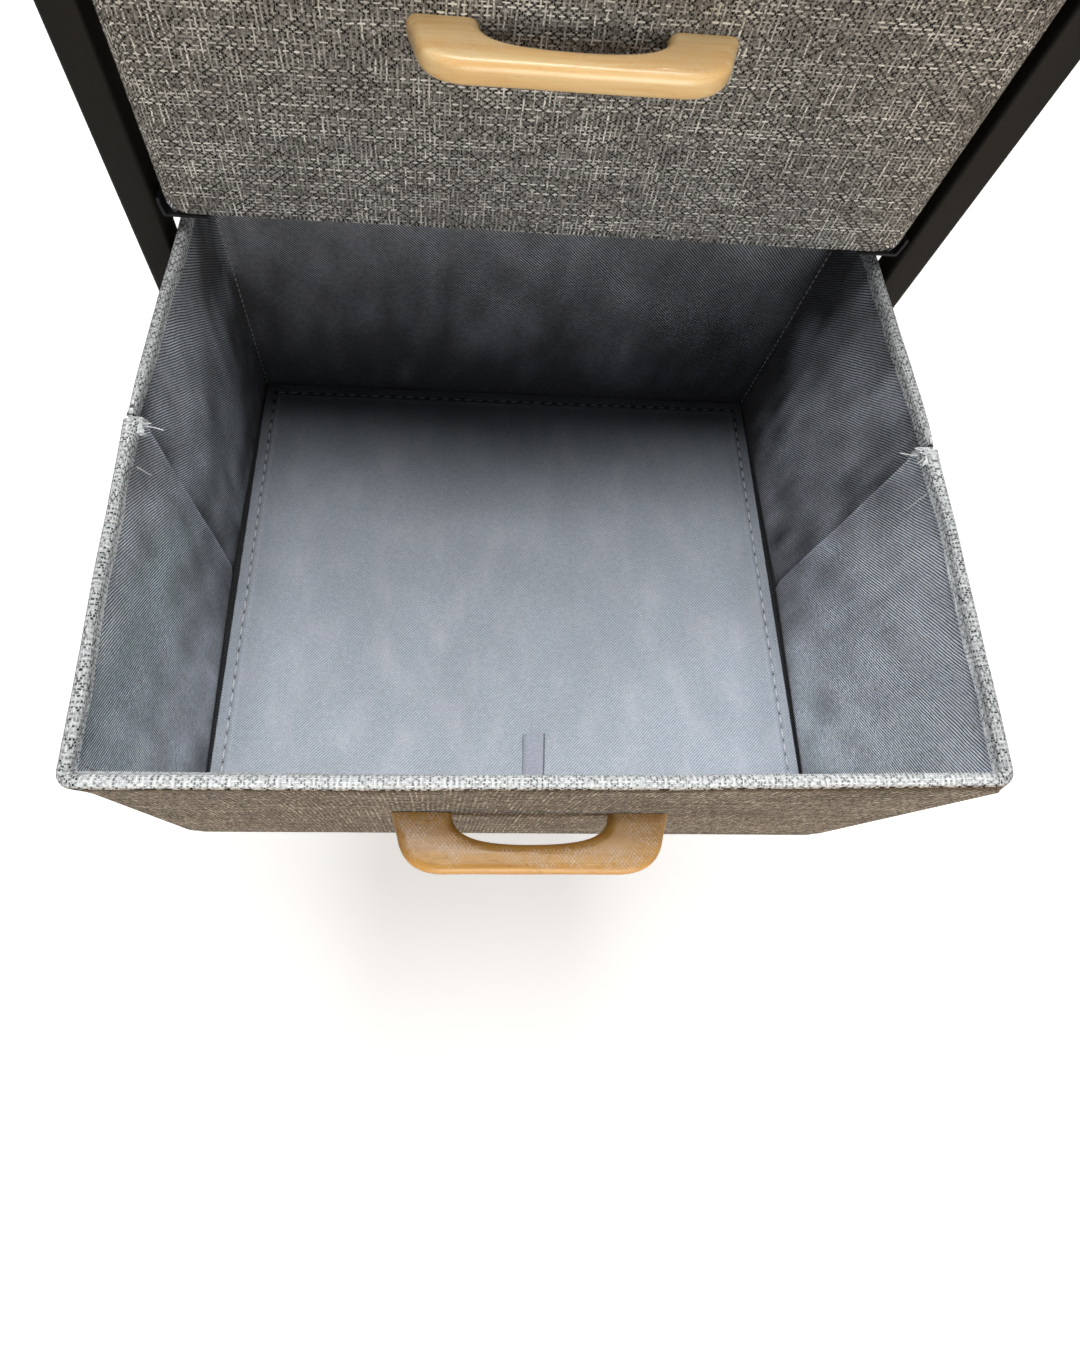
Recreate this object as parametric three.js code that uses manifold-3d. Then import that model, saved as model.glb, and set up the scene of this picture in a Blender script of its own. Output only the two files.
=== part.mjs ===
// A fabric drawer dresser: a black steel tube frame with a wood top, and four
// collapsible fabric bins that slide on steel angle runners. One bin stands open.
// Millimetres, +Z up, the front faces -Y, and the floor is at z = 0.
import * as THREE from "three";
import { mergeVertices } from "three/addons/utils/BufferGeometryUtils.js";
import Module from "manifold-3d";

const wasm = await Module();
wasm.setup();

// Clearances that every piece shares.
const seatGap = 0.3; // between two pieces that rest on each other
const cutOverrun = 5; // how far a cutting shape runs past the piece that it cuts
const cornerSegments = 3; // steps round a small corner

// The bins, counted from the top. Each is a fabric tub with stiff walls.
const binCount = 4;
const openBin = 2;
const openHold = 46; // how much of the open bin's depth stays in the frame
const binWidth = 350;
const binDepth = 300;
const binHeight = 183;
const binWall = 5;
const binFloor = 3;
const binCorner = 6; // radius of the upright corners
const binBottomEdge = 9; // radius along the two lower side edges
const creaseDepth = 2.5; // how far each side folds outwards at half its depth
const rimClearance = 8.2; // from a rim up to the runner flange above it
const webClearance = 1.2; // from a crease to the runner's upright web

// The stiff board in the front wall, in a pocket that is open below.
const pocketSkin = 0.8; // fabric on each face of the pocket
const pocketMargin = 12; // from the bin's sides
const pocketTop = 8; // from the rim
const boardLift = 4; // from the bin's underside

// The loose base board, with its pull tab.
const baseThickness = 4;
const baseGap = 1; // to the walls
const baseCorner = 4;
const tabWidth = 12.5;
const tabLength = 48;
const tabThickness = 1.2;
const tabOffset = 12; // to the right of the middle

// The bow handle, of solid beech, and its two screws.
const handleLength = 125;
const handleRound = 4; // round edges
const handleFlat = 3; // what the round edges leave flat of the handle's height
const barFlat = 4; // what they leave flat of the bar's depth
const handleRise = 98; // from the bin's underside up to the handle's middle
const handleFoot = 27; // length of each foot on the bin
const handleLean = 3; // how far each end leans in before its nose
const noseDepth = 15; // the curved nose at each end, from front to back
const noseLength = 21; // the same nose, along the bar
const fingerGap = 13; // from the bin's front to the back of the bar
const gapTurn = 10; // how far the curve of the gap runs straight out from a foot
const gapEase = 12; // how far in from a foot the curve has turned along the bar
const handleArcSegments = 6;
const screwRadius = 2;
const screwInset = 13; // from the handle's end to the middle of the screw
const screwGrip = 13; // how far the screw goes into the foot
const screwHeadRadius = 6;
const screwHeadHeight = 2.2;
const screwHoleGap = 0.25;
const screwSides = 12;
const screwCrownShare = 0.7; // flat middle of a domed head, as a share of its radius

// The frame, of square tube with its rails butted between the posts.
const tube = 16;
const tubeWall = 1.4;
const tubeCorner = 2;
const lowestRunner = 9; // from the bottom rail up to the lowest flange
const railClearance = 0.9; // from a stop to the rear rails
const bracedBin = 2; // the bin that the rear middle rail crosses behind

// The runners, of folded steel angle with a stop turned up at the back.
const runnerSheet = 1.5;
const runnerWeb = 11;
const runnerSeat = 7; // how much of the flange lies under the flat of the bin
const runnerInset = 2; // from the frame's front and back
const stopHeight = 12;
const stopGap = 0.6; // behind a closed bin

// The top board and its four screws.
const topThickness = 15;
const topOverhang = 5;
const topCorner = 5;
const topScrewRadius = 2;
const topScrewBite = 10;
const topScrewHeadRadius = 4;
const topScrewHeadHeight = 2;
const topScrewInsetShare = 0.2; // from each end of a side rail, as a share of its length

// The feet: a disc with a stem, and a plug that fills the end of the post.
const footRadius = 12;
const footDisc = 6;
const footStemRadius = 7;
const footHeight = 20;
const footPlug = 18;
const footSides = 18;

// Places that follow from the sizes above.
const openTravel = binDepth - openHold;
const postGap = seatGap + runnerSheet + webClearance + creaseDepth;
const postInner = binWidth / 2 + postGap;
const postX = postInner + tube / 2;
const frontPostY = tube / 2;
const frameDepth = binDepth + stopGap + runnerSheet + railClearance + tube;
const rearPostY = frameDepth - tube / 2;
const runnerFlange = postGap - seatGap + binBottomEdge + runnerSeat;
const runnerPitch = binHeight + rimClearance + runnerSheet + seatGap;
const lowestFlange = footHeight + tube + lowestRunner;
const frameTop = lowestFlange + binCount * runnerPitch - runnerSheet + tube;
const postLength = frameTop - footHeight;
const railAcross = 2 * (postInner - seatGap);
const railAlong = frameDepth - 2 * (tube + seatGap);
const handleHeight = handleFlat + 2 * handleRound;
const handleReach = fingerGap + barFlat + 2 * handleRound;
const screwX = handleLength / 2 - screwInset;

// Finishes.
const finishes = {
  steel: new THREE.MeshStandardMaterial({ color: 0x1b1a17, roughness: 0.55, metalness: 0.6 }),
  zinc: new THREE.MeshStandardMaterial({ color: 0xa9abad, roughness: 0.35, metalness: 1 }),
  topWood: new THREE.MeshStandardMaterial({ color: 0xb98a5a, roughness: 0.5, metalness: 0 }),
  beech: new THREE.MeshStandardMaterial({ color: 0xd3a367, roughness: 0.32, metalness: 0 }),
  plastic: new THREE.MeshStandardMaterial({ color: 0x161616, roughness: 0.6, metalness: 0 }),
  linen: new THREE.MeshStandardMaterial({ color: 0x8d8b85, roughness: 0.95, metalness: 0 }),
  lining: new THREE.MeshStandardMaterial({ color: 0x84888f, roughness: 0.9, metalness: 0 }),
  hardboard: new THREE.MeshStandardMaterial({ color: 0x6b5137, roughness: 0.85, metalness: 0 }),
};

// Turns a closed geometry into a solid that can be cut and joined.
function solidOf(geometry) {
  const bare = geometry.clone();
  bare.deleteAttribute("normal");
  bare.deleteAttribute("uv");
  const merged = mergeVertices(bare);
  return new wasm.Manifold(
    new wasm.Mesh({
      numProp: 3,
      vertProperties: merged.attributes.position.array,
      triVerts: new Uint32Array(merged.index.array),
    }),
  );
}

// Turns a cut solid back into a geometry with flat faces.
function geometryOf(solid) {
  const mesh = solid.getMesh();
  const shared = new THREE.BufferGeometry();
  shared.setAttribute("position", new THREE.BufferAttribute(mesh.vertProperties, 3));
  shared.setIndex(new THREE.BufferAttribute(mesh.triVerts, 1));
  const flat = shared.toNonIndexed();
  flat.computeVertexNormals();
  return flat;
}

// A box between two corners.
function boxBetween(low, high) {
  const size = high.map((value, axis) => value - low[axis]);
  const middle = high.map((value, axis) => (value + low[axis]) / 2);
  return new THREE.BoxGeometry(...size).translate(...middle);
}

// A rod along Y, from one place on that axis to another.
function rodAlongY(radius, fromY, toY, sides, x, z) {
  const rod = new THREE.CylinderGeometry(radius, radius, toY - fromY, sides);
  return rod.translate(x, (fromY + toY) / 2, z);
}

// A rod along Z, from one height to another.
function rodAlongZ(radius, fromZ, toZ, sides, x, y) {
  const rod = new THREE.CylinderGeometry(radius, radius, toZ - fromZ, sides);
  return rod.rotateX(Math.PI / 2).translate(x, y, (fromZ + toZ) / 2);
}

// Adds a rectangle with round corners to a path or shape.
function roundRectangle(path, halfX, halfY, radius) {
  path.moveTo(-halfX + radius, -halfY);
  path.lineTo(halfX - radius, -halfY);
  path.absarc(halfX - radius, -halfY + radius, radius, -Math.PI / 2, 0);
  path.lineTo(halfX, halfY - radius);
  path.absarc(halfX - radius, halfY - radius, radius, 0, Math.PI / 2);
  path.lineTo(-halfX + radius, halfY);
  path.absarc(-halfX + radius, halfY - radius, radius, Math.PI / 2, Math.PI);
  path.lineTo(-halfX, -halfY + radius);
  path.absarc(-halfX + radius, -halfY + radius, radius, Math.PI, (3 * Math.PI) / 2);
  return path;
}

// A shape pushed straight up from z = 0.
function plainExtrusion(shape, depth) {
  const curveSegments = cornerSegments;
  return new THREE.ExtrudeGeometry(shape, { depth, bevelEnabled: false, curveSegments });
}

// A length of square tube along Z, open at both ends, with its lower end at z = 0.
function tubeLength(length) {
  const section = roundRectangle(new THREE.Shape(), tube / 2, tube / 2, tubeCorner);
  const bore = tube / 2 - tubeWall;
  const boreCorner = Math.max(tubeCorner - tubeWall, tubeWall / 4);
  section.holes.push(roundRectangle(new THREE.Path(), bore, bore, boreCorner));
  return plainExtrusion(section, length);
}

// A rail across the dresser, in the X direction, centred on its own place.
function railAcrossGeometry() {
  return tubeLength(railAcross).translate(0, 0, -railAcross / 2).rotateY(Math.PI / 2);
}

// A rail from front to back, centred on its own place.
function railAlongGeometry() {
  return tubeLength(railAlong).translate(0, 0, -railAlong / 2).rotateX(Math.PI / 2);
}

// The places of the top screws along a side rail, from the rail's middle.
function topScrewPlaces() {
  const reach = railAlong * (0.5 - topScrewInsetShare);
  return [-reach, reach];
}

// A top side rail has a hole through it for each top screw.
function topSideRailGeometry() {
  let rail = solidOf(railAlongGeometry());
  for (const y of topScrewPlaces()) {
    const from = -tube / 2 - cutOverrun;
    const to = tube / 2 + cutOverrun;
    const hole = rodAlongZ(topScrewRadius + screwHoleGap, from, to, screwSides, 0, y);
    rail = rail.subtract(solidOf(hole));
  }
  return geometryOf(rail);
}

// The top board, with a blind hole below for each screw. Its underside is at z = 0.
function topBoardGeometry() {
  const halfX = postX + tube / 2 + topOverhang;
  const halfY = frameDepth / 2 + topOverhang;
  const outline = roundRectangle(new THREE.Shape(), halfX, halfY, topCorner);
  let board = solidOf(plainExtrusion(outline, topThickness));
  for (const x of [-postX, postX]) {
    for (const y of topScrewPlaces()) {
      const depth = topScrewBite + screwHoleGap;
      const hole = rodAlongZ(topScrewRadius + screwHoleGap, -cutOverrun, depth, screwSides, x, y);
      board = board.subtract(solidOf(hole));
    }
  }
  return geometryOf(board);
}

// A screw up through a side rail into the top board. Its head's upper face is at z = 0.
function topScrewGeometry() {
  const length = tube + 2 * seatGap + topScrewBite;
  const profile = [
    new THREE.Vector2(0, -topScrewHeadHeight),
    new THREE.Vector2(topScrewHeadRadius * screwCrownShare, -topScrewHeadHeight),
    new THREE.Vector2(topScrewHeadRadius, -topScrewHeadHeight / 2),
    new THREE.Vector2(topScrewHeadRadius, 0),
    new THREE.Vector2(topScrewRadius, 0),
    new THREE.Vector2(topScrewRadius, length - topScrewRadius),
    new THREE.Vector2(0, length),
  ];
  return new THREE.LatheGeometry(profile, screwSides).rotateX(Math.PI / 2);
}

// A foot, standing on z = 0, with its plug up inside the post.
function footGeometry() {
  const plugRadius = tube / 2 - tubeWall - seatGap;
  const discEdge = footDisc / 3;
  const profile = [
    new THREE.Vector2(0, 0),
    new THREE.Vector2(footRadius - discEdge, 0),
    new THREE.Vector2(footRadius, discEdge),
    new THREE.Vector2(footRadius, footDisc - discEdge),
    new THREE.Vector2(footRadius - discEdge, footDisc),
    new THREE.Vector2(footStemRadius, footDisc),
    new THREE.Vector2(footStemRadius, footHeight - seatGap),
    new THREE.Vector2(plugRadius, footHeight - seatGap),
    new THREE.Vector2(plugRadius, footHeight + footPlug),
    new THREE.Vector2(0, footHeight + footPlug),
  ];
  return new THREE.LatheGeometry(profile, footSides).rotateX(Math.PI / 2);
}

// A runner for the left side. Its web stands against x = 0 and its flange reaches to +X
// at z = 0 and below. The stop stands on the flange behind a closed bin.
function runnerGeometry() {
  const angle = new THREE.Shape();
  angle.moveTo(0, -runnerSheet);
  angle.lineTo(runnerFlange, -runnerSheet);
  angle.lineTo(runnerFlange, 0);
  angle.lineTo(runnerSheet, 0);
  angle.lineTo(runnerSheet, runnerWeb - runnerSheet);
  angle.lineTo(0, runnerWeb - runnerSheet);
  angle.closePath();
  const length = frameDepth - 2 * runnerInset;
  const bar = plainExtrusion(angle, length);
  bar.rotateX(Math.PI / 2).translate(0, frameDepth - runnerInset, 0);
  const stopY = binDepth + stopGap;
  const stopFromX = postGap;
  const stop = boxBetween(
    [stopFromX, stopY, -runnerSheet / 2],
    [runnerFlange, stopY + runnerSheet, stopHeight],
  );
  return geometryOf(solidOf(bar).add(solidOf(stop)));
}

// The outline of a bin seen from above, inset from its outer faces. Each side has a
// crease at half its depth. The bin's front is at y = 0.
function binOutline(inset) {
  const halfX = binWidth / 2 - inset;
  const front = inset;
  const back = binDepth - inset;
  const radius = Math.max(binCorner - inset, binCorner / 4);
  const crease = halfX + creaseDepth;
  const middle = binDepth / 2;
  const outline = new THREE.Shape();
  outline.moveTo(-halfX + radius, front);
  outline.lineTo(halfX - radius, front);
  outline.absarc(halfX - radius, front + radius, radius, -Math.PI / 2, 0);
  outline.lineTo(crease, middle);
  outline.lineTo(halfX, back - radius);
  outline.absarc(halfX - radius, back - radius, radius, 0, Math.PI / 2);
  outline.lineTo(-halfX + radius, back);
  outline.absarc(-halfX + radius, back - radius, radius, Math.PI / 2, Math.PI);
  outline.lineTo(-crease, middle);
  outline.lineTo(-halfX, front + radius);
  outline.absarc(-halfX + radius, front + radius, radius, Math.PI, (3 * Math.PI) / 2);
  return outline;
}

// A bar along Y with the bin's front view: square above, and round along the lower edges.
function binFrontView() {
  const halfX = binWidth / 2 + creaseDepth;
  const radius = binBottomEdge + creaseDepth;
  const view = new THREE.Shape();
  view.moveTo(-halfX + radius, 0);
  view.lineTo(halfX - radius, 0);
  view.absarc(halfX - radius, radius, radius, -Math.PI / 2, 0);
  view.lineTo(halfX, binHeight + cutOverrun);
  view.lineTo(-halfX, binHeight + cutOverrun);
  view.lineTo(-halfX, radius);
  view.absarc(-halfX + radius, radius, radius, Math.PI, (3 * Math.PI) / 2);
  const bar = plainExtrusion(view, binDepth + 2 * cutOverrun);
  return bar.rotateX(Math.PI / 2).translate(0, binDepth + cutOverrun, 0);
}

// The holes for the two handle screws, through all that lies between two places.
function cutHandleHoles(solid, fromY, toY) {
  let cut = solid;
  for (const x of [-screwX, screwX]) {
    const radius = screwRadius + screwHoleGap;
    const hole = rodAlongY(radius, fromY, toY, screwSides, x, handleRise);
    cut = cut.subtract(solidOf(hole));
  }
  return cut;
}

// A bin: walls and floor of fabric over card, with the pocket for the front board.
function binGeometry() {
  const inside = plainExtrusion(binOutline(binWall), binHeight).translate(0, 0, binFloor);
  const pocketHalfX = binWidth / 2 - pocketMargin;
  const pocket = boxBetween(
    [-pocketHalfX, pocketSkin, -cutOverrun],
    [pocketHalfX, binWall - pocketSkin, binHeight - pocketTop],
  );
  const tub = solidOf(plainExtrusion(binOutline(0), binHeight))
    .intersect(solidOf(binFrontView()))
    .subtract(solidOf(inside))
    .subtract(solidOf(pocket));
  return geometryOf(cutHandleHoles(tub, -cutOverrun, binWall + cutOverrun));
}

// The board in the front wall, which takes the pull of the handle.
function frontBoardGeometry() {
  const halfX = binWidth / 2 - pocketMargin - seatGap;
  const board = boxBetween(
    [-halfX, pocketSkin + seatGap, boardLift],
    [halfX, binWall - pocketSkin - seatGap, binHeight - pocketTop - seatGap],
  );
  return geometryOf(cutHandleHoles(solidOf(board), -cutOverrun, binWall + cutOverrun));
}

// The loose board on the bin's floor.
function baseBoardGeometry() {
  const halfX = binWidth / 2 - binWall - baseGap;
  const halfY = binDepth / 2 - binWall - baseGap;
  const outline = roundRectangle(new THREE.Shape(), halfX, halfY, baseCorner);
  const board = plainExtrusion(outline, baseThickness);
  return board.translate(0, binDepth / 2, binFloor + seatGap);
}

// The pull tab: a folded ribbon that lies on the base board at its front edge.
function pullTabGeometry() {
  const under = binFloor + seatGap + baseThickness + seatGap;
  const front = binWall + baseGap;
  return boxBetween(
    [tabOffset - tabWidth / 2, front, under],
    [tabOffset + tabWidth / 2, front + tabLength, under + tabThickness],
  );
}

// The handle seen from above, in front of y = 0, and run on behind it by an overrun.
function handleOutline() {
  const behind = handleRound + cutOverrun;
  const halfX = handleLength / 2;
  const noseX = halfX - handleLean;
  const turnX = noseX - handleLean;
  const barX = noseX - noseLength;
  const noseY = -handleReach + noseDepth;
  const footX = halfX - handleFoot;
  const easeX = footX - gapEase;
  const outline = new THREE.Shape();
  outline.moveTo(-halfX, behind);
  outline.lineTo(-halfX, 0);
  outline.lineTo(-noseX, noseY);
  outline.quadraticCurveTo(-turnX, -handleReach, -barX, -handleReach);
  outline.lineTo(barX, -handleReach);
  outline.quadraticCurveTo(turnX, -handleReach, noseX, noseY);
  outline.lineTo(halfX, 0);
  outline.lineTo(halfX, behind);
  outline.lineTo(footX, behind);
  outline.lineTo(footX, 0);
  outline.bezierCurveTo(footX, -gapTurn, easeX, -fingerGap, 0, -fingerGap);
  outline.bezierCurveTo(-easeX, -fingerGap, -footX, -gapTurn, -footX, 0);
  outline.lineTo(-footX, behind);
  return outline;
}

// A handle, with round edges, a flat foot at each end and a blind hole for each screw.
function handleGeometry() {
  const blank = new THREE.ExtrudeGeometry(handleOutline(), {
    depth: handleHeight - 2 * handleRound,
    bevelEnabled: true,
    bevelThickness: handleRound,
    bevelSize: handleRound,
    bevelOffset: -handleRound,
    bevelSegments: cornerSegments,
    curveSegments: handleArcSegments,
  });
  blank.translate(0, 0, handleRise - handleHeight / 2 + handleRound);
  const halfX = handleLength / 2 + cutOverrun;
  const behind = boxBetween(
    [-halfX, -seatGap, handleRise - handleHeight],
    [halfX, handleRound + 2 * cutOverrun, handleRise + handleHeight],
  );
  const bow = solidOf(blank).subtract(solidOf(behind));
  return geometryOf(cutHandleHoles(bow, -screwGrip - screwHoleGap, cutOverrun));
}

// A handle screw, from its head inside the bin forwards into the handle's foot.
function handleScrewGeometry() {
  const headFace = binWall + seatGap;
  const profile = [
    new THREE.Vector2(0, -screwGrip),
    new THREE.Vector2(screwRadius, -screwGrip + screwRadius / 2),
    new THREE.Vector2(screwRadius, headFace),
    new THREE.Vector2(screwHeadRadius, headFace),
    new THREE.Vector2(screwHeadRadius, headFace + screwHeadHeight / 3),
    new THREE.Vector2(screwHeadRadius * screwCrownShare, headFace + screwHeadHeight),
    new THREE.Vector2(0, headFace + screwHeadHeight),
  ];
  return new THREE.LatheGeometry(profile, screwSides);
}

// Puts a named mesh in a group.
function place(group, name, geometry, finish, x = 0, y = 0, z = 0) {
  const mesh = new THREE.Mesh(geometry, finish);
  mesh.name = name;
  mesh.position.set(x, y, z);
  group.add(mesh);
  return mesh;
}

const sides = [
  { name: "left", sign: -1 },
  { name: "right", sign: 1 },
];

// The height of the flange that carries a bin, counted from the top.
function flangeHeight(number) {
  return lowestFlange + (binCount - number) * runnerPitch;
}

// The steel frame with its top and feet. Its front is at y = 0.
function makeFrame() {
  const frame = new THREE.Group();
  const { steel, zinc, topWood, plastic } = finishes;
  const topZ = frameTop - tube / 2;
  const bottomZ = footHeight + tube / 2;
  const middleZ = flangeHeight(bracedBin) + binHeight / 2;
  for (const { name, sign } of sides) {
    const x = sign * postX;
    for (const [end, y] of [["front", frontPostY], ["rear", rearPostY]]) {
      place(frame, `${end}_${name}_post`, tubeLength(postLength), steel, x, y, footHeight);
      place(frame, `${end}_${name}_foot`, footGeometry(), plastic, x, y, 0);
    }
    place(frame, `${name}_top_rail`, topSideRailGeometry(), steel, x, frameDepth / 2, topZ);
    place(frame, `${name}_bottom_rail`, railAlongGeometry(), steel, x, frameDepth / 2, bottomZ);
    topScrewPlaces().forEach((along, index) => {
      const y = frameDepth / 2 + along;
      const z = frameTop - tube - seatGap;
      const end = index === 0 ? "front" : "rear";
      place(frame, `${name}_${end}_top_screw`, topScrewGeometry(), zinc, x, y, z);
    });
  }
  place(frame, "front_top_rail", railAcrossGeometry(), steel, 0, frontPostY, topZ);
  place(frame, "rear_top_rail", railAcrossGeometry(), steel, 0, rearPostY, topZ);
  place(frame, "front_bottom_rail", railAcrossGeometry(), steel, 0, frontPostY, bottomZ);
  place(frame, "rear_bottom_rail", railAcrossGeometry(), steel, 0, rearPostY, bottomZ);
  place(frame, "rear_middle_rail", railAcrossGeometry(), steel, 0, rearPostY, middleZ);
  const topBoardZ = frameTop + seatGap;
  place(frame, "top_board", topBoardGeometry(), topWood, 0, frameDepth / 2, topBoardZ);
  return frame;
}

// The two runners of one bin.
function makeRunners(number) {
  const pair = new THREE.Group();
  for (const { name, sign } of sides) {
    const x = sign * (postInner - seatGap);
    const runner = place(pair, `runner_${number}_${name}`, runnerGeometry(), finishes.steel, x);
    runner.scale.x = -sign; // the right runner mirrors the left one
  }
  pair.position.z = flangeHeight(number);
  return pair;
}

// One bin with its boards, tab, handle and screws.
function makeDrawer(number) {
  const drawer = new THREE.Group();
  const label = `drawer_${number}`;
  const { linen, lining, hardboard, beech, zinc } = finishes;
  place(drawer, `${label}_bin`, binGeometry(), linen);
  place(drawer, `${label}_front_board`, frontBoardGeometry(), hardboard);
  place(drawer, `${label}_base_board`, baseBoardGeometry(), lining);
  place(drawer, `${label}_pull_tab`, pullTabGeometry(), lining);
  place(drawer, `${label}_handle`, handleGeometry(), beech);
  for (const { name, sign } of sides) {
    const x = sign * screwX;
    place(drawer, `${label}_${name}_screw`, handleScrewGeometry(), zinc, x, 0, handleRise);
  }
  const pulled = number === openBin ? openTravel : 0;
  drawer.position.set(0, -pulled, flangeHeight(number) + seatGap);
  return drawer;
}

const dresser = new THREE.Group();
dresser.add(makeFrame());
for (let number = 1; number <= binCount; number += 1) {
  dresser.add(makeRunners(number), makeDrawer(number));
}

// The origin lies under the middle of the dresser and its open bin, on the floor.
const foremost = -openTravel - handleReach;
const rearmost = frameDepth + topOverhang;
dresser.position.y = -(foremost + rearmost) / 2;

export default dresser;
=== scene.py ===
# %% [markdown]
# # A fabric drawer dresser
# The dresser is a black steel frame with a board top and four fold-flat fabric bins.
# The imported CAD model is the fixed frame: every piece made here takes its size and its
# place from a CAD node, so nothing has to be fitted afterwards.

# %% Load the frame
import math

import bmesh
import bpy
from mathutils import Matrix, Vector, noise


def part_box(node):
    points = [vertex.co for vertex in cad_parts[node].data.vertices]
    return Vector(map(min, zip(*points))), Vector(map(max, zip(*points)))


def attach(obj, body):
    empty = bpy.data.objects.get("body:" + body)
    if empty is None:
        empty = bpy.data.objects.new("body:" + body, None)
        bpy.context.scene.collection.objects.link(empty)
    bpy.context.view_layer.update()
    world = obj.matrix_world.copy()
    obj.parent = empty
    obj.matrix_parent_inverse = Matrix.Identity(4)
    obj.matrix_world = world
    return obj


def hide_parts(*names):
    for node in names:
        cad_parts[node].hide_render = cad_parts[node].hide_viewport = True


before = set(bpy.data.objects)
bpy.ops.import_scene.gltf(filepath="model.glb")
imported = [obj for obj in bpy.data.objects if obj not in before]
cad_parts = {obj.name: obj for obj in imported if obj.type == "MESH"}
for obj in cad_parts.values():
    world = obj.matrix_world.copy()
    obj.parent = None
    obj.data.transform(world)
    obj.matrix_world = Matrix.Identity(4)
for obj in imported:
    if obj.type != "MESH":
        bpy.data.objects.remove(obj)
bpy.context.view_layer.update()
MM = 0.001
drawers = [1, 2, 3, 4]


def place_in_scene(name, data):
    """Adds an object to the scene: a camera, a lamp, a curve or a mesh."""
    item = bpy.data.objects.new(name, data)
    bpy.context.scene.collection.objects.link(item)
    return item


def in_mm(lengths):
    return [round(length / MM, 1) for length in lengths]


# %% [markdown]
# ## The camera
# The photograph looks down into the open drawer from just in front of it. A camera is
# best placed by the thing that it looks at, so its place is given from the middle of the
# open bin's lower front edge, once the bin is pushed home. The lens is wide, as a phone's
# is, and the shift puts the optical axis where the photograph has it.

# %% Camera
FRAME_HEIGHT = 1350  # pixels of the photograph's height
FOCAL_PIXELS = 808.9
AXIS_RIGHT_PIXELS = -42  # optical axis from the picture's middle
AXIS_UP_PIXELS = 145
CAMERA_FROM_BIN = Vector((-42.97, -297.7, 481.3)) * MM
CAMERA_TURN = (0.4504, -0.0735, -0.0016)  # radians
NEAREST_SEEN = 10 * MM

closed_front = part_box("drawer_1_bin")[0].y
open_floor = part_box("drawer_2_bin")[0].z
camera_data = bpy.data.cameras.new("camera")
camera_data.sensor_fit = "AUTO"
camera_data.sensor_width = 36
camera_data.lens = camera_data.sensor_width * FOCAL_PIXELS / FRAME_HEIGHT
camera_data.shift_x = -AXIS_RIGHT_PIXELS / FRAME_HEIGHT
camera_data.shift_y = -AXIS_UP_PIXELS / FRAME_HEIGHT
camera_data.clip_start = NEAREST_SEEN
camera = place_in_scene("camera", camera_data)
camera.location = Vector((0, closed_front, open_floor)) + CAMERA_FROM_BIN
camera.rotation_euler = CAMERA_TURN
bpy.context.scene.camera = camera
print("lens", round(camera_data.lens, 2), "mm")

# %% [markdown]
# ## A bench for nodes
# A material is a small program made of nodes. Written out in full, each node takes five
# lines, so this helper places a node, sets it and links it in one call. A value can be a
# plain number or the output of another node.

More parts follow.
